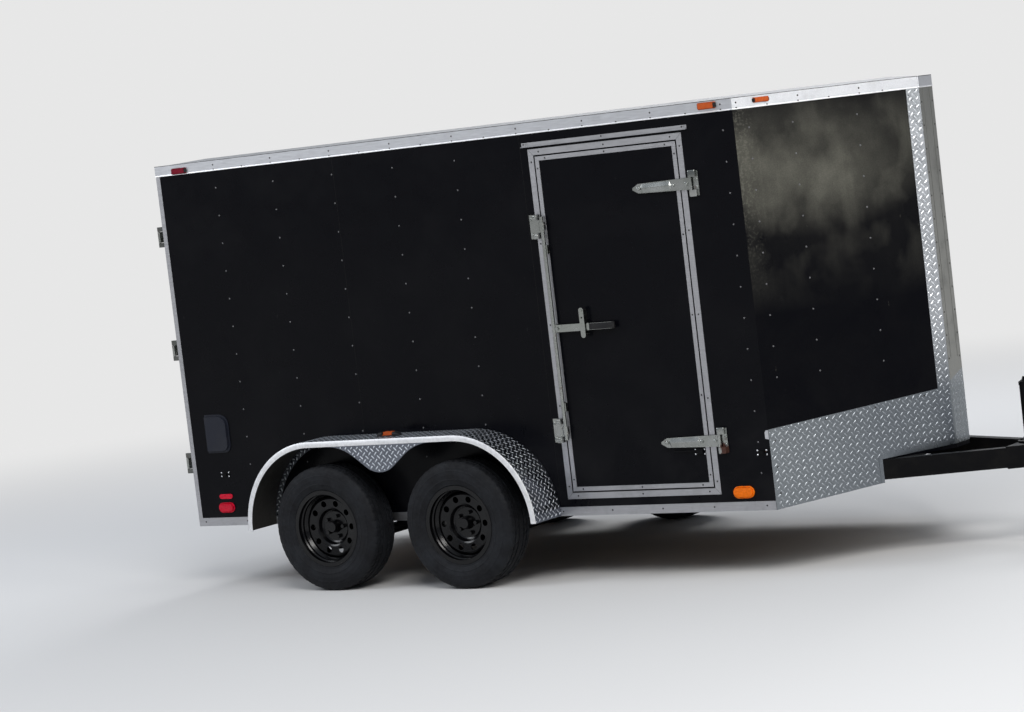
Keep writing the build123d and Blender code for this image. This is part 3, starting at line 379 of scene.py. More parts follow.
by_slot = {
    "painted_skin": SKIN, "mill_aluminium": TRIM, "tread_plate": TREAD, "roof_sheet": ROOF,
    "frame_paint": CHASSIS, "zinc_steel": ZINC, "wheel_paint": WHEEL, "tyre_rubber": RUBBER,
    "plywood": PLY, "grey_plastic": PLASTIC, "amber_lens": AMBER, "red_lens": RED,
}
special = {
    "nose_wall_right": NOSE_SKIN_WITH_SHEEN, "nose_wall_left": NOSE_SKIN_WITH_SHEEN, "nose_trim": FRONT, "roof_trim": ROOF_TRIM,
    "fender_right": FENDER, "fender_left": FENDER, "rear_butts": DARK_ZINC,
}
for row in frame["record"]["subparts"]:
    node = frame["nodes"][row["node"]]
    node.data.materials.clear()
    node.data.materials.append(special.get(row["node"], by_slot[row["material_slot"]]))


# Mesh helpers
SQUARE = ((-1, -1), (1, -1), (1, 1), (-1, 1))


def turned(faces):
    """The same faces seen from their other side."""
    return [face[::-1] for face in faces]


def quads(rows, width, closed=False):
    """Faces between rows of points, where each row is open or closes to a ring."""
    steps = [(k, (k + 1) % width) for k in range(width if closed else width - 1)]
    return [(row * width + a, row * width + b, row * width + width + b, row * width + width + a)
            for row in range(rows - 1) for a, b in steps]


def last_row(rows, width):
    """One face over the last row of points."""
    return tuple(range((rows - 1) * width, rows * width))


class Bag:
    """Gathers many small forms into one mesh."""

    def __init__(self):
        self.verts, self.faces = [], []

    def add(self, verts, faces, flip=False):
        base = len(self.verts)
        self.verts += [tuple(v) for v in verts]
        self.faces += [tuple(base + i for i in face) for face in (turned(faces) if flip else faces)]

    def ring(self, centre, across, along, rows, segments):
        """A turned form: rows of (radius, height) about the axis across x along."""
        axis = across.cross(along)
        verts = []
        for radius, height in rows:
            for k in range(segments):
                angle = 2 * math.pi * k / segments
                spoke = across * math.cos(angle) + along * math.sin(angle)
                verts.append(centre + axis * height + spoke * radius)
        self.add(verts, quads(len(rows), segments, True) + [last_row(len(rows), segments)])

    def screw(self, centre, across, along, radius, height):
        """A screw head with a washer under it."""
        washer = radius * 1.35
        rows = [(washer, 0), (washer, height * 0.25), (radius, height * 0.45), (radius * 0.55, height)]
        self.ring(centre, across, along, rows, 8)

    def dome(self, centre, pair, radius, height):
        """A domed bolt head."""
        rows = [(radius, 0.0), (radius, 0.5 * height), (0.90 * radius, 0.74 * height),
                (0.62 * radius, 0.93 * height), (0.22 * radius, height)]
        self.ring(centre, *pair, rows, 16)

    def lens(self, centre, across, along, turn, length, width=0.0068, height=0.0011):
        """One raised lens of tread plate, turned in its sheet."""
        u = across * math.cos(turn) + along * math.sin(turn)
        v = along * math.cos(turn) - across * math.sin(turn)
        n = across.cross(along)
        foot = ((-0.5, 0), (-0.26, -0.46), (0.26, -0.46), (0.5, 0), (0.26, 0.46), (-0.26, 0.46))
        crown = ((-0.32, -0.22), (0.32, -0.22), (0.32, 0.22), (-0.32, 0.22))
        verts = [centre + u * (a * length) + v * (b * width) for a, b in foot]
        verts += [centre + u * (a * length) + v * (b * width) + n * height for a, b in crown]
        faces = [(0, 1, 6), (1, 2, 7, 6), (2, 3, 7), (3, 8, 7), (3, 4, 8), (4, 5, 9, 8), (5, 0, 9), (0, 6, 9),
                 (6, 7, 8, 9)]
        self.add(verts, faces)

    def block(self, centre, across, along, sizes):
        """A box with its sizes across, along and out of a surface."""
        u, v, n = across * (sizes[0] / 2), along * (sizes[1] / 2), across.cross(along) * (sizes[2] / 2)
        verts = [centre + u * a + v * b + n * c for c in (-1, 1) for a, b in SQUARE]
        self.add(verts, [(3, 2, 1, 0), (4, 5, 6, 7), (0, 1, 5, 4), (1, 2, 6, 5), (2, 3, 7, 6), (3, 0, 4, 7)])

    def make(self, name, material, body, slot, smooth=True):
        """Turns the bag into a piece that rides on a body."""
        mesh = bpy.data.meshes.new(name)
        mesh.from_pydata(self.verts, [], self.faces)
        mesh.validate()
        mesh.materials.append(material)
        if smooth:
            mesh.shade_smooth()
        piece = bpy.data.objects.new(name, mesh)
        bpy.context.collection.objects.link(piece)
        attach(piece, body)
        return piece


def inside(polygon, u, v, margin):
    """Whether a point lies in a polygon and at least margin from its edges."""
    hit = False
    for (u0, v0), (u1, v1) in zip(polygon, polygon[1:] + polygon[:1]):
        if (v0 > v) != (v1 > v) and u < (u1 - u0) * (v - v0) / (v1 - v0) + u0:
            hit = not hit
        length = math.hypot(u1 - u0, v1 - v0)
        t = max(0.0, min(1.0, ((u - u0) * (u1 - u0) + (v - v0) * (v1 - v0)) / length**2))
        if math.hypot(u - u0 - t * (u1 - u0), v - v0 - t * (v1 - v0)) < margin:
            return False
    return hit


# Each wall has a function for its points and a pair of directions whose cross product points outwards
RIGHT = (Vector((1, 0, 0)), UP)
LEFT = (Vector((-1, 0, 0)), UP)
REAR = (Vector((0, -1, 0)), UP)
NOSE = (ACROSS, UP)
V_RIGHT = (V_DIR, UP)
V_LEFT = (Vector((-V_DIR.x, V_DIR.y, 0)), UP)


def right_point(x, z, out=0.0):
    return Vector((x, -HALF - out, z))


def left_point(x, z, out=0.0):
    return Vector((x, HALF + out, z))


def v_point(e, z, out=0.0):
    """A point on the right nose wall, e along it from the V's corner."""
    return Vector((X_V, -HALF, z)) + V_DIR * e + V_DIR.cross(UP) * out


def v_left_point(e, z, out=0.0):
    """The same point on the left nose wall."""
    point = v_point(e, z, out)
    return Vector((point.x, -point.y, point.z))


SIDES = ((right_point, RIGHT), (left_point, LEFT))
NOSE_SIDES = ((v_point, V_RIGHT), (v_left_point, V_LEFT))

# Tread plate
ROW_STEP = 0.019
LENS_LENGTH = 0.0285
LENS_PARTS = 8


def tread(bag, place, across_along, polygon, margin=0.0028):
    """Fills a polygon (u, v) with rows of lenses that lean left and right in turn, cut at its edges."""
    us = [p[0] for p in polygon]
    vs = [p[1] for p in polygon]
    rows = int((max(vs) - min(vs)) / ROW_STEP) + 2
    columns = int((max(us) - min(us)) / (2 * ROW_STEP)) + 2
    for row in range(rows):
        for column in range(columns):
            u = min(us) + ROW_STEP * (2 * column + row % 2 + 0.1)
            v = min(vs) + ROW_STEP * (row + 0.3)
            turn = math.pi / 4 if row % 2 else -math.pi / 4
            lean_u, lean_v = math.cos(turn) * LENS_LENGTH, math.sin(turn) * LENS_LENGTH
            kept = [t for t in (k / LENS_PARTS - 0.5 for k in range(LENS_PARTS + 1))
                    if inside(polygon, u + lean_u * t, v + lean_v * t, margin)]
            if len(kept) > 2:
                middle = (kept[0] + kept[-1]) / 2
                u, v = u + lean_u * middle, v + lean_v * middle
                across, along = across_along(u) if callable(across_along) else across_along
                bag.lens(place(u, v), across, along, turn, LENS_LENGTH * (kept[-1] - kept[0]))


GUARD_T = 0.002
NOTCH_E, NOTCH_Z = 0.588, 0.522
STRIP_E = V_LENGTH - 0.075
STRIP_LOW, STRIP_TOP = 0.80, 2.32
PLATE_LOW = 0.52
guard_side = [
    (0.012, SKIRT_Z + 0.004), (NOTCH_E, SKIRT_Z + 0.042), (NOTCH_E, NOTCH_Z), (V_LENGTH, NOTCH_Z + 0.018),
    (V_LENGTH, 0.814), (0.0, SKIRT_Z + 0.400),
]
strip = [(STRIP_E, STRIP_LOW), (V_LENGTH, STRIP_LOW), (V_LENGTH, STRIP_TOP), (STRIP_E, STRIP_TOP)]
front_plate = [(-NOSE_HALF, PLATE_LOW), (NOSE_HALF, PLATE_LOW), (NOSE_HALF, 0.889), (-NOSE_HALF, 0.841)]
guard = Bag()
for polygon in (guard_side, strip):
    tread(guard, lambda e, z: v_point(e, z, GUARD_T), V_RIGHT, polygon)
guard.add([(x, -y, z) for x, y, z in guard.verts], guard.faces, True)
tread(guard, lambda y, z: Vector((X_NOSE + GUARD_T, y, z)), NOSE, front_plate)
guard.make("guard_tread", GUARD_LENS, "chassis", "tread_plate")

# The fender's band follows its side profile: a quarter round, a flat and a quarter round
FENDER_T = 0.003
FLAT = fender_hi.x - fender_lo.x - 2 * FENDER_R
ARC = math.pi / 2 * FENDER_R
BAND = 2 * ARC + FLAT
FENDER_OUT = -fender_lo.y
FLANGE = 0.036
SKIRT_HALF, SKIRT_DROP, SKIRT_SLOPE, SKIRT_TIP = 0.345, 0.147, math.radians(37), 0.150
LIP_WIDTH = 0.030
LIP_STEPS = 96
# Columns: inset from the fender's outline, height out of its side
LIP_SECTION = ((-0.0004, -0.0030), (-0.0004, -0.0004), (0.0006, 0.0005), (LIP_WIDTH - 0.002, 0.0005),
               (LIP_WIDTH, -0.0002))


def fender_at(s, inset=0.0):
    """Point and tangent at a distance along the fender's profile, from its rear end."""
    radius = FENDER_R - inset
    if s < ARC:
        angle = math.pi - s / FENDER_R
        centre = fender_lo.x + FENDER_R
    elif s < ARC + FLAT:
        return fender_lo.x + FENDER_R + s - ARC, fender_lo.z + radius, Vector((1, 0, 0))
    else:
        angle = math.pi / 2 - (s - ARC - FLAT) / FENDER_R
        centre = fender_hi.x - FENDER_R
    x = centre + radius * math.cos(angle)
    z = fender_lo.z + radius * math.sin(angle)
    return x, z, Vector((math.sin(angle), 0, -math.cos(angle)))


def skirt_outline():
    """The skirt's lower edge as points (along, up) from the fender's middle and bottom."""
    top = FENDER_R - LIP_WIDTH
    flank = SKIRT_DROP / math.tan(SKIRT_SLOPE / 2) - SKIRT_HALF
    root = (SKIRT_HALF - flank * math.cos(SKIRT_SLOPE)) / math.sin(SKIRT_SLOPE) - SKIRT_TIP
    right_half = []
    for k in range(7):
        angle = SKIRT_SLOPE * k / 6
        right_half.append((SKIRT_TIP * math.sin(angle), top - SKIRT_DROP + SKIRT_TIP * (1 - math.cos(angle))))
    for k in range(7):
        angle = SKIRT_SLOPE * (1 - k / 6)
        right_half.append((SKIRT_HALF - root * math.sin(angle), top - root * (1 - math.cos(angle))))
    return [(-u, v) for u, v in right_half[:0:-1]] + right_half


def band_area(low, high):
    """A strip of the unrolled fender, from one end of its profile to the other."""
    return [(0, low), (BAND, low), (BAND, high), (0, high)]


skirt = skirt_outline()
for side, name in ((-1, "right"), (1, "left")):
    bag = Bag()

    def on_band(s, w, inset=0.0):
        x, z, _ = fender_at(s, inset)
        return Vector((x, side * w, z))

    def band_pair(s):
        return fender_at(s)[2], ACROSS

    def on_flange(s, inset):
        return on_band(s, HALF + FENDER_T, inset)

    def flange_pair(s):
        tangent = fender_at(s)[2]
        return tangent * -side, Vector((-tangent.z, 0, tangent.x))

    def on_skirt(u, v):
        return Vector((FENDER_X + u, side * FENDER_OUT, fender_lo.z + v))

    tread(bag, on_band, band_pair, band_area(HALF + 0.004, FENDER_OUT))
    tread(bag, on_flange, flange_pair, band_area(0.003, FLANGE))
    tread(bag, on_skirt, RIGHT if side < 0 else LEFT, skirt, 0.004)
    bag.make(f"fender_tread_{name}", LENS_METAL, "chassis", "tread_plate")

    lip = Bag()
    verts = []
    for k in range(LIP_STEPS + 1):
        for inset, out in LIP_SECTION:
            x, z, _ = fender_at(BAND * k / LIP_STEPS, inset)
            verts.append((x, side * (FENDER_OUT + out), max(z, fender_lo.z)))
    lip.add(verts, quads(LIP_STEPS + 1, len(LIP_SECTION)), side > 0)
    lip.make(f"fender_lip_{name}", LIP, "chassis", "tread_plate")

# Screws on the walls, in rows on the studs
SMALL = (0.0036, 0.0018)
HEAD = (0.0036, 0.0030)
STUD = 0.4064
FIRST_STUD = X_V - 0.0637
ROW = 0.1545
ROW_Z = [SKIRT_Z + 1.886 - ROW * row for row in range(12)]
NOSE_COLUMNS = (0.080, 0.319, 0.676)
FRAME_REACH = 0.05
GUARD_TOP = 0.84


def screw_walls(bag, walls, u, z, out=0.0):
    """A small screw at the same place of each wall."""
    for place, pair in walls:
        bag.screw(place(u, z, out), *pair, *SMALL)


wall_screws = Bag()
for k in range(9):
    x = FIRST_STUD - STUD * k
    covered = frame_lo.x - FRAME_REACH < x < frame_hi.x + FRAME_REACH
    for z in ROW_Z:
        screw_walls(wall_screws, SIDES[1:] if covered else SIDES, x, z)
for e in NOSE_COLUMNS:
    for z in ROW_Z:
        if z > GUARD_TOP:
            screw_walls(wall_screws, NOSE_SIDES, e, z)
wall_screws.make("wall_screws", PAINTED_SCREW, "chassis", "painted_skin")

# Screws along the roof trim, in pairs above each other at every second place, and along the sill
TRIM_ROWS = (TRIM_LOW + 0.034, TRIM_LOW + 0.008)
NOSE_TRIM_COLUMNS = (0.022, 0.19, 0.36, 0.53, 0.70, 0.83)
SILL_SCREWS = 13
END_GAP = 0.05
trim_screws = Bag()


def trim_column(walls, u, pair):
    """A screw at the same place of each wall, or a pair above each other."""
    for wall in walls:
        for z in TRIM_ROWS if pair else TRIM_ROWS[1:]:
            screw_walls(trim_screws, [wall], u, z, TRIM_OUT)


for k in range(18):
    x = FIRST_STUD - STUD / 2 * k
    if x > X_REAR + 0.02:
        trim_column(SIDES, x, k % 2 == 0)
for k, e in enumerate(NOSE_TRIM_COLUMNS):
    trim_column(NOSE_SIDES, e, k % 2 == 0)
for k in range(SILL_SCREWS):
    x = X_REAR + END_GAP + k * (X_V - X_REAR - 2 * END_GAP) / (SILL_SCREWS - 1)
    screw_walls(trim_screws, SIDES, x, SKIRT_Z + 0.024, rail_hi.y - HALF)
trim_screws.make("edge_trim_screws", TRIM_SCREW, "chassis", "mill_aluminium")


def door_screws(bag, grow, out):
    """Five screws up each side and three along the top and bottom of a trim round the side door."""
    x0, x1, z0, z1 = door_lo.x - grow, door_hi.x + grow, door_lo.z - grow, door_hi.z + grow
    for k in range(5):
        z = z0 + END_GAP + (z1 - z0 - 2 * END_GAP) * k / 4
        for x in (x0, x1):
            screw_walls(bag, SIDES[:1], x, z, out)
    for x in (x0 + END_GAP, (x0 + x1) / 2, x1 - END_GAP):
        for z in (z0, z1):
            screw_walls(bag, SIDES[:1], x, z, out)


FRONT_SCREWS = [0.95 + 0.118 * k for k in range(12)]
# Columns: place along the nose wall, height
GUARD_SCREWS = ((0.03, 0.42), (0.03, 0.55), (0.03, 0.68), (0.32, 0.745), (0.60, 0.766), (0.88, 0.785))
screws = Bag()
door_screws(screws, 0.023, 0.003)
for x in (frame_lo.x + 0.02, (frame_lo.x + frame_hi.x) / 2, frame_hi.x - 0.02):
    screw_walls(screws, SIDES[:1], x, frame_hi.z - 0.008, -HALF - frame_lo.y)
for z in FRONT_SCREWS:
    for y in (-0.060, 0.060):
        screws.screw(Vector((X_NOSE + GUARD_T, y, z)), *NOSE, *SMALL)
for e, z in GUARD_SCREWS:
    screw_walls(screws, NOSE_SIDES, e, z, GUARD_T)
screws.make("trim_screws", TRIM_SCREW, "chassis", "zinc_steel")

leaf_screws = Bag()
door_screws(leaf_screws, -0.012, 0.0034)
leaf_screws.make("side_door_screws", TRIM_SCREW, "side_door", "zinc_steel")

# Rims of the oval markers
RIM_WIDTH, RIM_OUT = 0.0045, 0.009
RIM_STEPS = 12


def rim(bag, u, z, length, height, place):
    """A flat rim with round ends about a point of a wall."""
    around = 2 * RIM_STEPS + 2
    straight = (length - height) / 2
    verts = []
    for grow, rise in ((0.0, 0.0), (0.0, RIM_OUT), (-RIM_WIDTH, RIM_OUT), (-RIM_WIDTH, 0.0)):
        radius = height / 2 + grow
        for k in range(around):
            end = 1 if k <= RIM_STEPS else -1
            step = k if end > 0 else k - RIM_STEPS - 1
            angle = math.pi * step / RIM_STEPS - math.pi / 2 * end
            x = u + end * straight + radius * math.cos(angle)
            verts.append(place(x, z + radius * math.sin(angle), rise))
    bag.add(verts, quads(4, around, True), place is left_point)


for name, x, z, length, height, material, slot in (
    ("front_marker_rims", X_V - 0.173, SKIRT_Z + 0.094, 0.118, 0.061, AMBER, "amber_lens"),
    ("rear_marker_rims", X_REAR + 0.217, SKIRT_Z + 0.102, 0.110, 0.057, RED, "red_lens"),
):
    rims = Bag()
    for place, _ in SIDES:
        rim(rims, x, z, length, height, place)
    rims.make(name, material, "chassis", slot)

# Screws of the wall brackets and of the hold-back rod's bracket
PLATE_OUT = 0.003
bracket_lo, bracket_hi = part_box("wall_brackets")
bracket_z = (bracket_lo.z + bracket_hi.z) / 2
front_x, rear_x = bracket_hi.x - 0.031, bracket_lo.x + 0.031
bracket_screws = Bag()
for (place, pair), x in ((SIDES[0], front_x), (SIDES[0], rear_x), (SIDES[1], rear_x)):
    for dx in (-0.026, 0.026):
        for dz in (-0.0105, 0.0105):
            bracket_screws.screw(place(x + dx, bracket_z + dz, PLATE_OUT), *pair, *HEAD)
bracket_screws.make("bracket_screws", ROOF_TRIM, "chassis", "zinc_steel")
hold_lo, hold_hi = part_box("door_holdback")
hold_screws = Bag()
for x in (hold_hi.x - 0.057, hold_hi.x - 0.004):
    for z in (hold_lo.z + 0.005, hold_hi.z - 0.005):
        hold_screws.screw(right_point(x, z, PLATE_OUT), *RIGHT, 0.0034, 0.0030)
hold_screws.make("holdback_screws", ROOF_TRIM, "side_door", "zinc_steel")

# Joints between the wall's sheets, beside every third stud
seams = Bag()
for k in (3, 6):
    x = FIRST_STUD - STUD * k + 0.012
    for place, pair in SIDES:
        middle = place(x, (RAIL_TOP + TRIM_LOW) / 2, 0.0002)
        seams.block(middle, *pair, (0.0012, TRIM_LOW - RAIL_TOP, 0.0008))
seams.make("sheet_seams", DARK, "chassis", "painted_skin", smooth=False)

# Mitred corners of the door's two trims
DIAGONAL = math.sqrt(0.5)
mitres = Bag()
leaf_mitres = Bag()
for bag, (x0, x1, z0, z1), width in (
    (mitres, (frame_lo.x + 0.034, frame_hi.x - 0.035, frame_lo.z, frame_hi.z - 0.035), 0.032),
    (leaf_mitres, (door_lo.x, door_hi.x, door_lo.z, door_hi.z), 0.023),
):
    for x, sx in ((x0, 1), (x1, -1)):
        for z, sz in ((z0, 1), (z1, -1)):
            across = Vector((DIAGONAL * sx, 0, DIAGONAL * sz))
            along = Vector((-DIAGONAL * sz, 0, DIAGONAL * sx))
            middle = right_point(x + sx * width / 2, z + sz * width / 2, 0.003)
            bag.block(middle, across, along, (width * 1.35, 0.0010, 0.0005))
mitres.make("frame_mitres", DARK, "chassis", "mill_aluminium", smooth=False)
leaf_mitres.make("leaf_mitres", DARK, "side_door", "mill_aluminium", smooth=False)


def edge_frame(bag, place, u0, u1, v0, v1, width, height):
    """A mitred flat strip round a rectangle, its edges eased."""
    ease = 0.0008
    section = ((0, 0), (0, height - ease), (ease, height), (width - ease, height), (width, height - ease),
               (width, 0))
    verts = []
    for inset, out in section:
        left, right, low, high = u0 + inset, u1 - inset, v0 + inset, v1 - inset
        verts += [place(u, v, out) for u, v in ((left, low), (right, low), (right, high), (left, high))]
    bag.add(verts, quads(len(section), 4, True))


leaf_trim = Bag()
edge_frame(leaf_trim, right_point, door_lo.x, door_hi.x, door_lo.z, door_hi.z, 0.0232, 0.0034)
leaf_trim.make("side_door_trim", TRIM, "side_door", "mill_aluminium", smooth=False)
REAR_TRIM_WIDTH, REAR_TRIM_OUT, REAR_TRIM_IN = 0.023, 0.0015, 0.001
for name in ("right", "left"):
    lo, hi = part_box(f"rear_door_{name}")
    rear_trim = Bag()
    edge_frame(rear_trim, lambda u, z, out: Vector((lo.x - out, -u, z)), REAR_TRIM_IN - hi.y,
               -lo.y - REAR_TRIM_IN, lo.z + REAR_TRIM_IN, hi.z - REAR_TRIM_IN, REAR_TRIM_WIDTH, REAR_TRIM_OUT)
    rear_trim.make(f"rear_door_trim_{name}", TRIM, f"rear_door_{name}", "mill_aluminium", smooth=False)

# The side door's hinges: pressed ridges and dome bolt heads on the straps, rounded ends on the butts
STRAP_OUT = 0.014
STRAP_HALF = 0.030
PIN_X = strap_hi.x - 0.009
BUTT_OUT = 0.006
BOLT = (0.0092, 0.0072)


def ridge(bag, point, start, end, z, flip=False):
    """A pressed ridge along a strap's middle, with sloped ends."""
    section = ((-0.0225, 0.0), (-0.0020, 0.0074), (0.0020, 0.0074), (0.0225, 0.0))
    stations = ((start, 0.1), (start + 0.013, 1.0), (end - 0.008, 1.0), (end, 0.1))
    verts = [point(u, z + v * max(scale, 0.4), h * scale) for u, scale in stations for v, h in section]
    bag.add(verts, quads(len(stations), len(section)), not flip)


def on_strap(x, z, out=0.0):
    return right_point(x, z, STRAP_OUT + out)


# A butt's knuckle and leaf, cut across. Columns: along the trailer from the pin, out from the wall
lobe = [(-0.0098, 0.012), (-0.0100, 0.016)]
lobe += [(0.0100 * math.cos(a), 0.016 + 0.0100 * math.sin(a)) for a in (2.8, 2.4, 2.0, 1.57, 1.2)]
lobe += [(0.012, 0.0236), (0.024, 0.0215), (0.0295, 0.0206), (0.0315, 0.0190), (0.0325, 0.0150),
         (0.0330, 0.0062)]
# Columns: height from the strap's middle, scale of the section
LOBE_STATIONS = ((0.0320, 1.0), (0.0600, 1.0), (0.0640, 0.97), (0.0660, 0.85), (0.0665, 0.55))
LOBE_MIDDLE = 0.011

ridges = Bag()
butt_ends = Bag()
for z in (strap_lo.z + STRAP_HALF, strap_hi.z - STRAP_HALF):
    ridge(ridges, on_strap, strap_lo.x + 0.045, door_hi.x - 0.044, z)
    for x in (strap_lo.x + 0.035, door_hi.x - 0.033, PIN_X - 0.024):
        ridges.dome(on_strap(x, z), RIGHT, *BOLT)
    for sign in (-1, 1):
        verts = []
        for along, scale in LOBE_STATIONS:
            for dx, out in lobe:
                x = PIN_X + LOBE_MIDDLE + (dx - LOBE_MIDDLE) * scale
                verts.append(right_point(x, z + sign * along, BUTT_OUT + (out - BUTT_OUT) * scale))
        faces = quads(len(LOBE_STATIONS), len(lobe)) + [last_row(len(LOBE_STATIONS), len(lobe))]
        butt_ends.add(verts, faces, sign < 0)
        butt_ends.dome(right_point(PIN_X + 0.033, z + sign * 0.018, BUTT_OUT), RIGHT, 0.0062, 0.0045)
ridges.make("strap_ridges", ZINC, "side_door", "zinc_steel", smooth=False)
butt_ends.make("butt_ends", ZINC, "chassis", "zinc_steel")

keeper_lo, keeper_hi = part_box("door_keepers")
KEEPER_HALF = 0.062
# Columns: place along the keeper, reach from its middle, how far out, radius, height of the dome
KEEPER_BOLTS = ((0.011, 0.040, 0.008, 0.0078, 0.0068), (0.048, 0.048, 0.0335, 0.0100, 0.0035))
keeper_domes = Bag()
for z in (keeper_lo.z + KEEPER_HALF, keeper_hi.z - KEEPER_HALF):
    for along, reach, out, radius, height in KEEPER_BOLTS:
        for dz in (-reach, reach):
            keeper_domes.dome(right_point(keeper_lo.x + along, z + dz, out), RIGHT, radius, height)
keeper_domes.make("keeper_domes", ZINC, "chassis", "zinc_steel")

# The guard's bent tab on the side wall
tabs = Bag()
tab = [(-0.020, 0.356), (0.0, 0.352), (0.0, 0.398), (-0.012, 0.398), (-0.020, 0.388)]
for place, _ in SIDES:
    verts = [place(X_V + u, SKIRT_Z + v, out) for out in (0.0002, 0.0018) for u, v in tab]
    tabs.add(verts, [last_row(2, len(tab))] + quads(2, len(tab), True), place is left_point)
tabs.make("guard_tabs", ROOF_TRIM, "chassis", "tread_plate", smooth=False)


# The roof trim's rolled lip and, below its top, a dark strip painted as a shadow line
def roof_edge(out):
    """The roof's edge in plan, from the rear right corner round the nose, moved outwards."""
    rear = trim_lo.x + 0.001
    plan = [(rear, -HALF), (X_V, -HALF), (X_NOSE, -NOSE_HALF), (X_NOSE, NOSE_HALF), (X_V, HALF), (rear, HALF)]
    normals = []
    for (x0, y0), (x1, y1) in zip(plan, plan[1:]):
        length = math.hypot(x1 - x0, y1 - y0)
        normals.append(((y1 - y0) / length, (x0 - x1) / length))
    points = []
    for k, (x, y) in enumerate(plan):
        (ax, ay), (bx, by) = normals[max(k - 1, 0)], normals[min(k, len(normals) - 1)]
        scale = out / (1 + ax * bx + ay * by)
        points.append((x + (ax + bx) * scale, y + (ay + by) * scale))
    return points


def edge_bead(name, section, start_z, material):
    """A bead round the roof's edge from a section of (out from the trim, up from start_z)."""
    bag = Bag()
    verts = [(x, y, start_z + up) for out, up in section for x, y in roof_edge(TRIM_OUT + out)]
    bag.add(verts, quads(len(section), len(roof_edge(0.0))))
    bag.make(name, material, "chassis", "mill_aluminium", smooth=False)


edge_bead("roof_trim_lip", ((0.0, 0.0), (0.0018, 0.0006), (0.0022, 0.0035), (0.0012, 0.0065), (0.0, 0.0072)),
          TRIM_LOW, LIP)
# A painted shadow: a thin dark strip just below the trim's top
edge_bead("roof_trim_shadow_line", ((0.0, -0.0034), (0.0003, -0.0033), (0.0003, -0.0007), (0.0, -0.0006)),
          TRIM_TOP, TRIM_SCREW)

# Dark end caps on the roof-edge lamps
CAP_LOW = 0.003
lamp_caps = Bag()


def end_caps(place, pair, u, z, length, height, depth):
    """Two caps that slope away from a lens's ends."""
    n = pair[0].cross(pair[1])
    for sign in (-1, 1):
        verts = []
        for reach, tall in ((-0.0020, depth), (0.0035, depth * 0.9), (0.0105, CAP_LOW)):
            for side in (-1, 1):
                for up in (0.0, tall):
                    drop = side * height / 2 * (1 - max(reach, 0) * 20)
                    along = pair[0] * (sign * (length / 2 + reach))
                    verts.append(place(u, z, TRIM_OUT) + along + UP * drop + n * up)
        faces = [(0, 1, 3, 2), (8, 10, 11, 9)]
        for a in (0, 4):
            faces += [(a, a + 4, a + 5, a + 1), (a + 1, a + 5, a + 7, a + 3), (a + 3, a + 7, a + 6, a + 2)]
        lamp_caps.add(verts, faces, sign < 0)


SIDE_LAMP = (0.086, 0.0265, 0.0155)
NOSE_LAMP = (0.157, TRIM_TOP - 0.025, 0.072, 0.0185, 0.0135)
for wall in SIDES:
    for x, z in ((X_V - 0.140, TRIM_TOP - 0.025), (X_REAR + 0.176, TRIM_TOP - 0.039)):
        end_caps(*wall, x, z, *SIDE_LAMP)
for wall in NOSE_SIDES:
    end_caps(*wall, *NOSE_LAMP)
lamp_caps.make("roof_lamp_caps", BLACK_PLASTIC, "chassis", "grey_plastic", smooth=False)

# Grips on the flat door handles
_, lock_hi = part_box("side_door_lock")
HANDLE_Z = 1.314
GRIP_LENGTH = 0.150
GRIP_AROUND = 20
SQUARENESS = 0.35


def sleeve(bag, point, start, length, z, out, half_z, half_out, flip=False):
    """A moulded grip over the end of a flat handle."""
    stations = ((0.0, 0.80), (0.002, 1.0), (length - 0.004, 1.0), (length, 0.90), (length + 0.0008, 0.70))
    verts = []
    for along, scale in stations:
        for k in range(GRIP_AROUND):
            angle = 2 * math.pi * k / GRIP_AROUND
            c, q = math.cos(angle), math.sin(angle)
            dz = math.copysign(abs(q) ** SQUARENESS, q) * half_z * scale
            dn = math.copysign(abs(c) ** SQUARENESS, c) * half_out * scale
            verts.append(point(start + along, z + dz, out + dn))
    faces = quads(len(stations), GRIP_AROUND, True)
    faces += [tuple(range(GRIP_AROUND - 1, -1, -1)), last_row(len(stations), GRIP_AROUND)]
    bag.add(verts, faces, not flip)


grip = Bag()
sleeve(grip, right_point, lock_hi.x - GRIP_LENGTH, GRIP_LENGTH, HANDLE_Z, 0.022, 0.0178, 0.0069)
grip.make("handle_grip", BLACK_PLASTIC, "side_door", "grey_plastic")

# Rear doors: ridges and bolts on the straps, screws in the trim, grips on the handles
REAR_STRAP_OUT = 0.006
REAR_RIDGE = (0.058, 0.242)
REAR_HANDLE_Z = 1.100
REAR_ROWS = 7
REAR_TRIM_MIDDLE = 0.0125
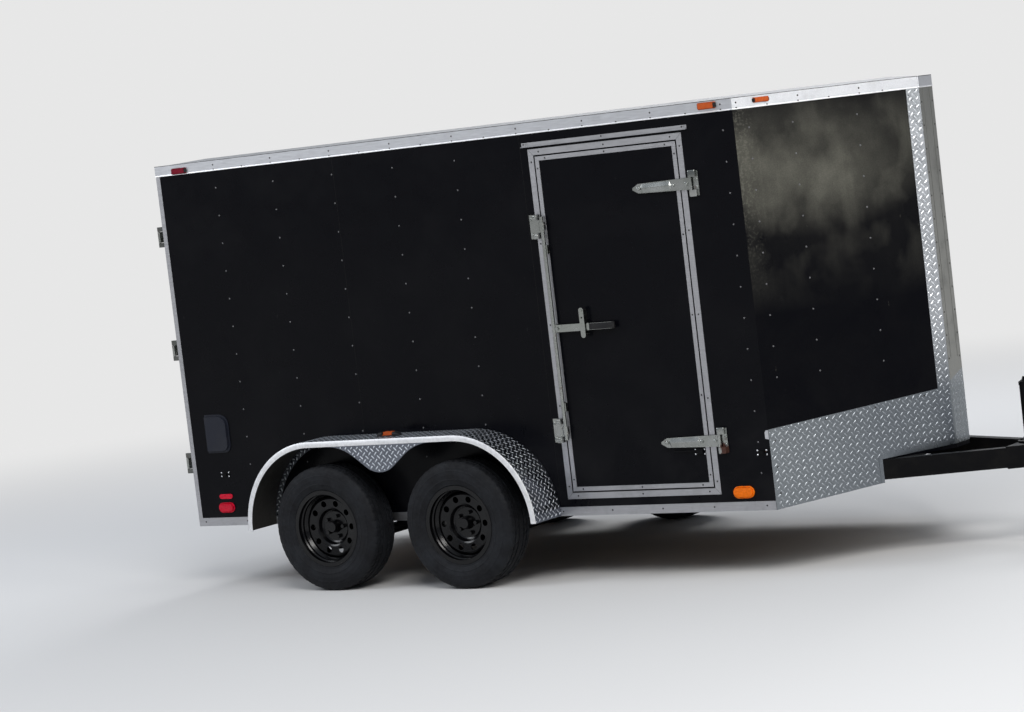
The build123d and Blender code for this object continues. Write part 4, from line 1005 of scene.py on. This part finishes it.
# Columns: place along the strap, height of the bolt's dome, where the middle one stands on the ridge
REAR_BOLTS = ((0.040, 0.0072), (0.150, 0.0120), (0.265, 0.0072))
for name, sign in (("right", -1), ("left", 1)):
    lo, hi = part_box(f"rear_door_{name}")
    edge = max(abs(lo.y), abs(hi.y))
    strap_low, strap_high = lo.z + 0.214, hi.z - 0.273

    def on_rear_strap(u, z, out=0.0):
        """A point on a strap, u in from the leaf's hinge edge."""
        return Vector((lo.x - (REAR_STRAP_OUT + out), sign * (edge - u), z))

    def centre_point(u, z, out):
        """A point on the leaf, u out from the trailer's middle."""
        return Vector((lo.x - out, sign * u, z))

    rear_ridges = Bag()
    for z in (strap_low, (strap_low + strap_high) / 2, strap_high):
        ridge(rear_ridges, on_rear_strap, *REAR_RIDGE, z, sign < 0)
        for u, height in REAR_BOLTS:
            rear_ridges.dome(on_rear_strap(u, z), REAR, BOLT[0], height)
    rear_ridges.make(f"rear_strap_ridges_{name}", ZINC, f"rear_door_{name}", "zinc_steel", smooth=False)
    rear_screws = Bag()
    leaf = [(centre_point, REAR)]
    inner, outer = 0.0155, edge - REAR_TRIM_MIDDLE
    for k in range(REAR_ROWS):
        z = lo.z + END_GAP + (hi.z - lo.z - 2 * END_GAP) * k / (REAR_ROWS - 1)
        for u in (inner, outer):
            screw_walls(rear_screws, leaf, u, z, REAR_TRIM_OUT)
    for k in range(1, 4):
        for z in (lo.z + REAR_TRIM_MIDDLE, hi.z - REAR_TRIM_MIDDLE):
            screw_walls(rear_screws, leaf, inner + (outer - inner) * k / 4, z, REAR_TRIM_OUT)
    rear_screws.make(f"rear_door_screws_{name}", TRIM_SCREW, f"rear_door_{name}", "zinc_steel")
    rear_grip = Bag()
    sleeve(rear_grip, centre_point, 0.332, 0.079, REAR_HANDLE_Z, 0.0325, 0.0200, 0.0052, sign > 0)
    rear_grip.make(f"rear_handle_grip_{name}", BLACK_PLASTIC, f"rear_door_{name}", "grey_plastic")

# Bases of the fender lamps, low in the middle where the lens sits
BASE_HALF = 0.0235
# Columns: along, share of the width, height
BASE_STATIONS = ((-0.078, 0.4, 0.003), (-0.068, 0.8, 0.014), (-0.052, 1.0, 0.021), (-0.0345, 1.0, 0.023),
                 (-0.0340, 1.04, 0.0062), (0.0340, 1.04, 0.0062), (0.0345, 1.0, 0.023), (0.052, 1.0, 0.021),
                 (0.068, 0.8, 0.014), (0.078, 0.4, 0.003))
# Columns: share of the half width, share of the height
BASE_SECTION = ((-1.0, 0.0), (-0.97, 0.6), (-0.80, 0.94), (-0.4, 1.0), (0.4, 1.0), (0.80, 0.94), (0.97, 0.6),
                (1.0, 0.0))
lamp_bases = Bag()
for side in (-1, 1):
    middle = Vector((FENDER_X, side * (HALF + 0.130), fender_hi.z))
    n = len(BASE_SECTION)
    verts = [middle + Vector((x, BASE_HALF * wide * y, tall * z)) for x, wide, tall in BASE_STATIONS
             for y, z in BASE_SECTION]
    faces = [(a, d, c, b) for a, b, c, d in quads(len(BASE_STATIONS), n)]
    faces += [tuple(range(n)), last_row(len(BASE_STATIONS), n)[::-1]]
    lamp_bases.add(verts, faces)
lamp_bases.make("fender_lamp_bases", BLACK_PLASTIC, "chassis", "grey_plastic", smooth=False)

# Two pressed creases up the front sheet
CREASE_LOW = 0.95
front_creases = Bag()
for y in (-0.038, 0.038):
    middle = Vector((X_NOSE + GUARD_T + 0.0004, y, (CREASE_LOW + TRIM_LOW) / 2))
    front_creases.block(middle, *NOSE, (0.004, TRIM_LOW - CREASE_LOW, 0.0012))
front_creases.make("front_creases", FRONT, "chassis", "mill_aluminium", smooth=False)

# Tyres. Columns: radius, half width at that radius
TYRE_SIDE = [
    (0.1908, 0.060), (0.1908, 0.0790), (0.2010, 0.0800), (0.2120, 0.0845), (0.2150, 0.0885),
    (0.2190, 0.0885), (0.2230, 0.0900), (0.2400, 0.0970), (0.2425, 0.0990), (0.2460, 0.0990),
    (0.2480, 0.0985), (0.2680, 0.1023), (0.2860, 0.1020), (0.2880, 0.1025), (0.2910, 0.1025),
    (0.2930, 0.1010), (0.3060, 0.0985), (0.3180, 0.0935), (0.3275, 0.0885), (0.3345, 0.0815),
]
TYRE_TREAD = [
    (0.3375, 0.0740), (0.3388, 0.0560), (0.3310, 0.0550), (0.3310, 0.0480), (0.3392, 0.0470),
    (0.3398, 0.0250), (0.3320, 0.0240), (0.3320, 0.0170), (0.3400, 0.0160),
]
profile = [(r, -w, False) for r, w in TYRE_SIDE] + [(r, -w, True) for r, w in TYRE_TREAD]
profile += [(r, w, True) for r, w in TYRE_TREAD[::-1]] + [(r, w, False) for r, w in TYRE_SIDE[::-1]]
STEPS = 192
SIPE_DEPTH, EDGE_SIPE_DEPTH = 0.0030, 0.0015


def sipe(k, r, w, on_tread):
    """How deep the tread is cut at a step: shoulders and side edges, then the blocks between."""
    w = abs(w)
    if k % 4 == 0:
        if on_tread:
            return SIPE_DEPTH if w > 0.055 else 0.0
        return EDGE_SIPE_DEPTH if w < 0.090 and r > 0.326 else 0.0
    return SIPE_DEPTH if k % 4 == 2 and on_tread and 0.018 < w < 0.050 and r > 0.335 else 0.0


for name in ("rear_right", "rear_left", "front_right", "front_left"):
    lo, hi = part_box(f"tyre_{name}")
    centre = (lo + hi) / 2
    rows = len(profile)
    verts = []
    for k in range(STEPS):
        for r, w, on_tread in profile:
            shift = 0.6 if abs(w) > 0.045 else 0.0
            angle = 2 * math.pi * (k + math.copysign(shift, w)) / STEPS
            r -= sipe(k, r, w, on_tread)
            verts.append((centre.x + r * math.cos(angle), centre.y + w, centre.z + r * math.sin(angle)))
    starts = [(k * rows + row, (k + 1) % STEPS * rows + row) for k in range(STEPS) for row in range(rows - 1)]
    bag = Bag()
    bag.add(verts, [(a, a + 1, b + 1, b) for a, b in starts])
    tyre = bag.make(f"tyre_skin_{name}", RUBBER, f"wheel_{name}", "tyre_rubber", smooth=False)
    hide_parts(f"tyre_{name}")


# Floor and sky
def emptied(owner):
    """A material's or a world's node tree with nothing in it."""
    owner.use_nodes = True
    owner.node_tree.nodes.clear()
    return owner.node_tree


def wire(tree, *pairs):
    """Links outputs to inputs."""
    for source, socket in pairs:
        tree.links.new(source, socket)


PALE = (0.80, 0.80, 0.80, 1)
REACH = 90
FADE_START, FADE_END = 4.5, 12.0
floor_mesh = bpy.data.meshes.new("floor")
floor_mesh.from_pydata([(REACH * x, REACH * y, 0) for x, y in SQUARE], [], [(0, 1, 2, 3)])
floor = bpy.data.objects.new("floor", floor_mesh)
bpy.context.collection.objects.link(floor)
floor_mat = bpy.data.materials.new("pale_floor")
tree = emptied(floor_mat)
output = added(tree, "OutputMaterial")
diffuse = added(tree, "BsdfDiffuse", Color=(0.62, 0.62, 0.62, 1))
glow = added(tree, "Emission", Color=PALE)
blend = added(tree, "MixShader")
coords = added(tree, "TexCoord")
length = added(tree, "VectorMath")
length.operation = "LENGTH"
fade = added(tree, "MapRange", From_Min=FADE_START, From_Max=FADE_END)
fade.interpolation_type = "SMOOTHSTEP"
wire(tree, (coords.outputs["Object"], length.inputs[0]), (length.outputs["Value"], fade.inputs["Value"]),
     (fade.outputs[0], blend.inputs[0]), (diffuse.outputs[0], blend.inputs[1]),
     (glow.outputs[0], blend.inputs[2]), (blend.outputs[0], output.inputs[0]))
floor_mesh.materials.append(floor_mat)

# The camera sees a plain pale sky, and the trailer is lit by one that is brighter towards the top
world = bpy.data.worlds.new("studio")
bpy.context.scene.world = world
tree = emptied(world)
output = added(tree, "OutputWorld")
seen = added(tree, "Background", Color=PALE)
lit = added(tree, "Background", Color=(0.84, 0.90, 1.0, 1))
coords = added(tree, "TexCoord")
height = added(tree, "SeparateXYZ")
sky = added(tree, "MapRange", From_Min=-0.1, From_Max=0.7, To_Min=0.14, To_Max=0.55)
path = added(tree, "LightPath")
blend = added(tree, "MixShader")
wire(tree, (coords.outputs["Generated"], height.inputs[0]), (height.outputs["Z"], sky.inputs["Value"]),
     (sky.outputs[0], lit.inputs["Strength"]), (path.outputs["Is Camera Ray"], blend.inputs[0]),
     (lit.outputs[0], blend.inputs[1]), (seen.outputs[0], blend.inputs[2]),
     (blend.outputs[0], output.inputs[0]))

# Lights. Columns: name, place, aim, size, watts, colour
for name, place, aim, size, watts, colour in (
    ("key", (5.5, -7.0, 8.0), (0.5, 0, 0.8), (6.0, 4.0), 700, (1.0, 0.98, 0.95)),
    ("front", (9.0, -1.6, 5.0), (1.6, -0.5, 1.6), (3.0, 3.0), 190, (1.0, 0.99, 0.96)),
    ("fill", (-7.0, -5.0, 6.0), (-0.5, 0, 0.8), (4.0, 4.0), 260, (0.93, 0.96, 1.0)),
    ("back", (-2.0, 7.0, 7.0), (0, 0, 1.0), (6.0, 3.0), 420, (1, 1, 1)),
):
    light = bpy.data.lights.new(name, "AREA")
    light.shape = "RECTANGLE"
    light.size, light.size_y = size
    light.energy = watts
    light.color = colour
    lamp = bpy.data.objects.new(name, light)
    bpy.context.collection.objects.link(lamp)
    lamp.location = place
    lamp.rotation_euler = (Vector(aim) - Vector(place)).to_track_quat("-Z", "Y").to_euler()

# Camera, at the photograph's viewing angle
camera_data = bpy.data.cameras.new("camera")
camera_data.sensor_width = 36.0
camera_data.lens = 104.26
camera_data.clip_end = 300
camera = bpy.data.objects.new("camera", camera_data)
bpy.context.collection.objects.link(camera)
CAMERA_PLACE = (8.5398, -13.5417, 2.34)
CAMERA_RIGHT = Vector((0.820913, 0.558893, -0.117217))
CAMERA_UP = Vector((0.054192, 0.128094, 0.99028))
CAMERA_BACK = Vector((0.568476, -0.819286, 0.074866))
turn = Matrix((CAMERA_RIGHT, CAMERA_UP, CAMERA_BACK)).transposed().to_4x4()
camera.matrix_world = Matrix.Translation(CAMERA_PLACE) @ turn
bpy.context.scene.camera = camera
bpy.context.scene.view_settings.view_transform = "Standard"
